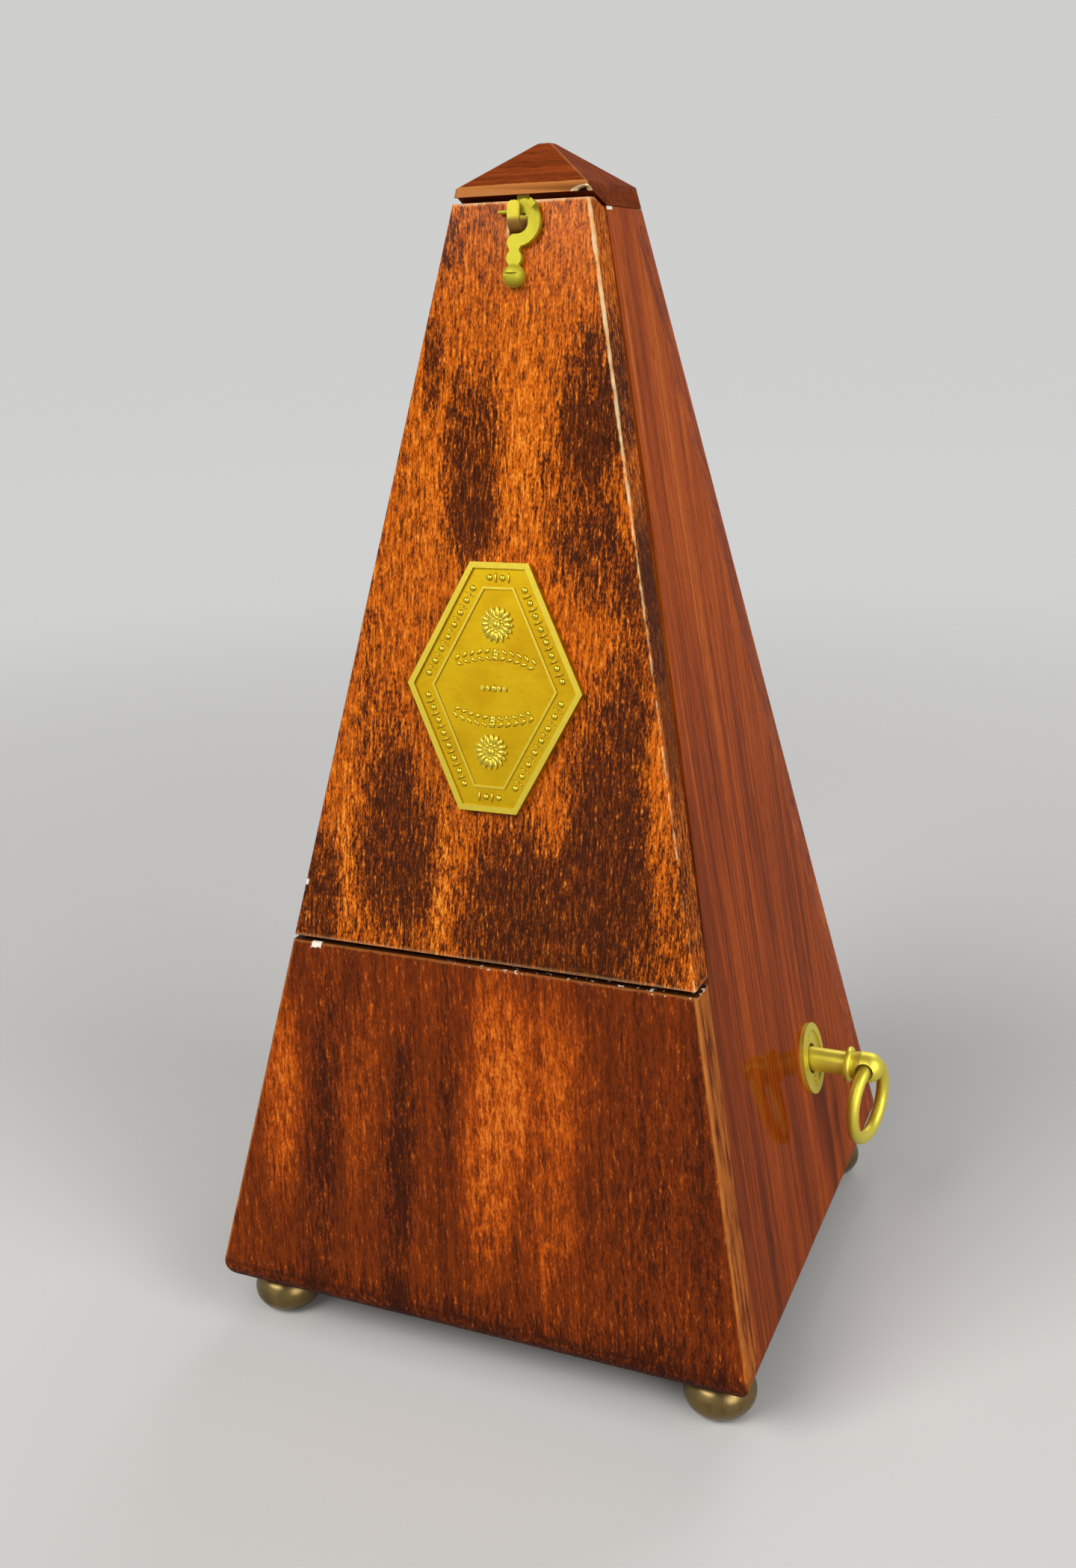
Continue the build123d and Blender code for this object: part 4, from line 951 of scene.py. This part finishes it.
# The catch's lower curl takes bronze painted shade
catch_brass = brass(
    "catch_brass", (0.49, 0.430, 0.036), (0.385, 0.290, 0.022), 0.62, shade_below=curl_top
)
pressed_brass = plaque_brass("plaque_brass")
dark_brass = brass(
    "dark_brass", (0.180, 0.122, 0.040), (0.055, 0.036, 0.014), 0.28, grain=0.6, tarnish=0.8
)
works_brass = brass("works_brass", (0.78, 0.58, 0.22), (0.52, 0.34, 0.10), 0.30)
works_steel = steel("works_steel", (0.56, 0.56, 0.57), (0.30, 0.26, 0.22), 0.28)
nickel = steel("weight_metal", (0.70, 0.69, 0.66), (0.48, 0.45, 0.40), 0.18)
iron = steel("bob_iron", (0.20, 0.20, 0.21), (0.12, 0.09, 0.07), 0.5)

dress("cover", cover_wood)
dress("panel_front", panel_wood)
dress("wall_right wall_left", side_wood)
dress("wall_back", back_wood)
dress("lid", lid_wood)
dress("bottom_board batten_left batten_right face_board", bare_wood)
dress("plaque", pressed_brass)
dress("hook hook_screw", hook_brass)
dress("key key_ring escutcheon escutcheon_pins", bright_brass)
dress("catch_strip", catch_brass)
dress("hinge_leaf_case hinge_leaf_lid hinge_pin hinge_screws_case hinge_screw_lid", bright_brass)
dress("foot_back_left foot_front_left foot_back_right foot_front_right", dark_brass)
dress("barrel barrel_cap second_wheel escape_wheel plate_left plate_right", works_brass)
dress("pillars arbor_cock front_bush lower_arm", works_brass)
dress("key_arbor ratchet_wheel click click_screw click_spring mainspring", works_steel)
dress("second_arbor escape_arbor pillar_screws movement_screws cock_screw", works_steel)
dress("bottom_screws pendulum_rod pendulum_arbor pallets", works_steel)
dress("weight", nickel)
dress("bob", iron)
dress("scale_plate", card("scale_card"))
plaque_beading(pressed_brass)
worn_lid(lid_wood)
tempo_numbers(ink("scale_ink"))


# Studio floor, lights and camera


def studio_floor():
    """Round floor whose rim sweeps up into a backdrop, pale to the eye and in reflections."""
    bpy.ops.object.select_all(action="DESELECT")
    bpy.ops.mesh.primitive_circle_add(vertices=floor_sides, radius=floor_r, fill_type="NGON")
    floor = bpy.context.object
    floor.name = "studio_floor"
    bpy.ops.object.mode_set(mode="EDIT")
    bpy.ops.mesh.select_all(action="SELECT")
    bpy.ops.mesh.select_mode(type="EDGE")
    bpy.ops.mesh.region_to_loop()
    bpy.ops.mesh.extrude_region_move(TRANSFORM_OT_translate={"value": (0, 0, floor_wall)})
    bpy.ops.object.mode_set(mode="OBJECT")
    sweep = floor.modifiers.new("sweep", "BEVEL")
    sweep.width = floor_bend
    sweep.segments = floor_bend_steps
    sweep.limit_method = "ANGLE"
    bpy.ops.object.modifier_apply(modifier="sweep")
    bpy.ops.object.shade_smooth()
    paint = Finish("studio_floor")
    seen = paint.add("ShaderNodeLightPath", output="Is Camera Ray")
    for ray in ("Is Glossy Ray", "Is Transmission Ray"):
        seen = seen.most(paint.add("ShaderNodeLightPath", output=ray))
    away = (paint.x * paint.x + paint.y * paint.y + paint.z * paint.z).math("SQRT")
    far = paint.step(away, 1000.0 * floor_near, 1000.0 * floor_far)
    near_paint = paint.blend(far, floor_seen, (0.0, 0.0, 0.0))
    floor.data.materials.append(
        paint.surface(
            Base_Color=paint.blend(seen, floor_dim, near_paint),
            Roughness=0.9,
            Specular_IOR_Level=0.1,
            Emission_Color=paint.blend(seen * far, (0.0, 0.0, 0.0), wall_seen),
            Emission_Strength=1.0,
        )
    )


def soft_light(name, place, width, height, watts, colour):
    """An area lamp turned to the middle of the case."""
    light = bpy.data.lights.new(name, "AREA")
    light.shape = "RECTANGLE"
    light.size = width
    light.size_y = height
    light.energy = watts
    light.color = colour
    lamp = bpy.data.objects.new(name, light)
    bpy.context.scene.collection.objects.link(lamp)
    lamp.location = place
    lamp.rotation_euler = (lamp_aim - Vector(place)).to_track_quat("-Z", "Y").to_euler()


def photo_camera():
    """Camera at the photograph's place, turned by its yaw, pitch and roll."""
    ahead = Vector(
        (-sin(camera_yaw) * cos(camera_pitch), cos(camera_yaw) * cos(camera_pitch), -sin(camera_pitch))
    )
    level_right = Vector((cos(camera_yaw), sin(camera_yaw), 0))
    above = level_right.cross(ahead)
    right = level_right * cos(camera_roll) + above * sin(camera_roll)
    up = above * cos(camera_roll) - level_right * sin(camera_roll)
    lens = bpy.data.cameras.new("photo_camera")
    lens.sensor_fit = "HORIZONTAL"
    lens.sensor_width = sensor_mm
    lens.lens = focal_px / photo_w * sensor_mm
    lens.clip_start = near_clip
    camera = bpy.data.objects.new("photo_camera", lens)
    bpy.context.scene.collection.objects.link(camera)
    turn = Matrix((right, up, -ahead)).transposed().to_4x4()
    camera.matrix_world = Matrix.Translation(camera_at) @ turn
    bpy.context.scene.camera = camera


def studio_sky():
    """Even grey light from all round."""
    world = bpy.data.worlds.new("studio_sky")
    world.use_nodes = True
    ground = world.node_tree.nodes["Background"]
    ground.inputs["Color"].default_value = sky_grey + (1.0,)
    ground.inputs["Strength"].default_value = sky_strength
    bpy.context.scene.world = world


studio_floor()
studio_sky()
for lamp in lamps:
    soft_light(*lamp)
photo_camera()
bpy.context.scene.view_settings.view_transform = "Standard"
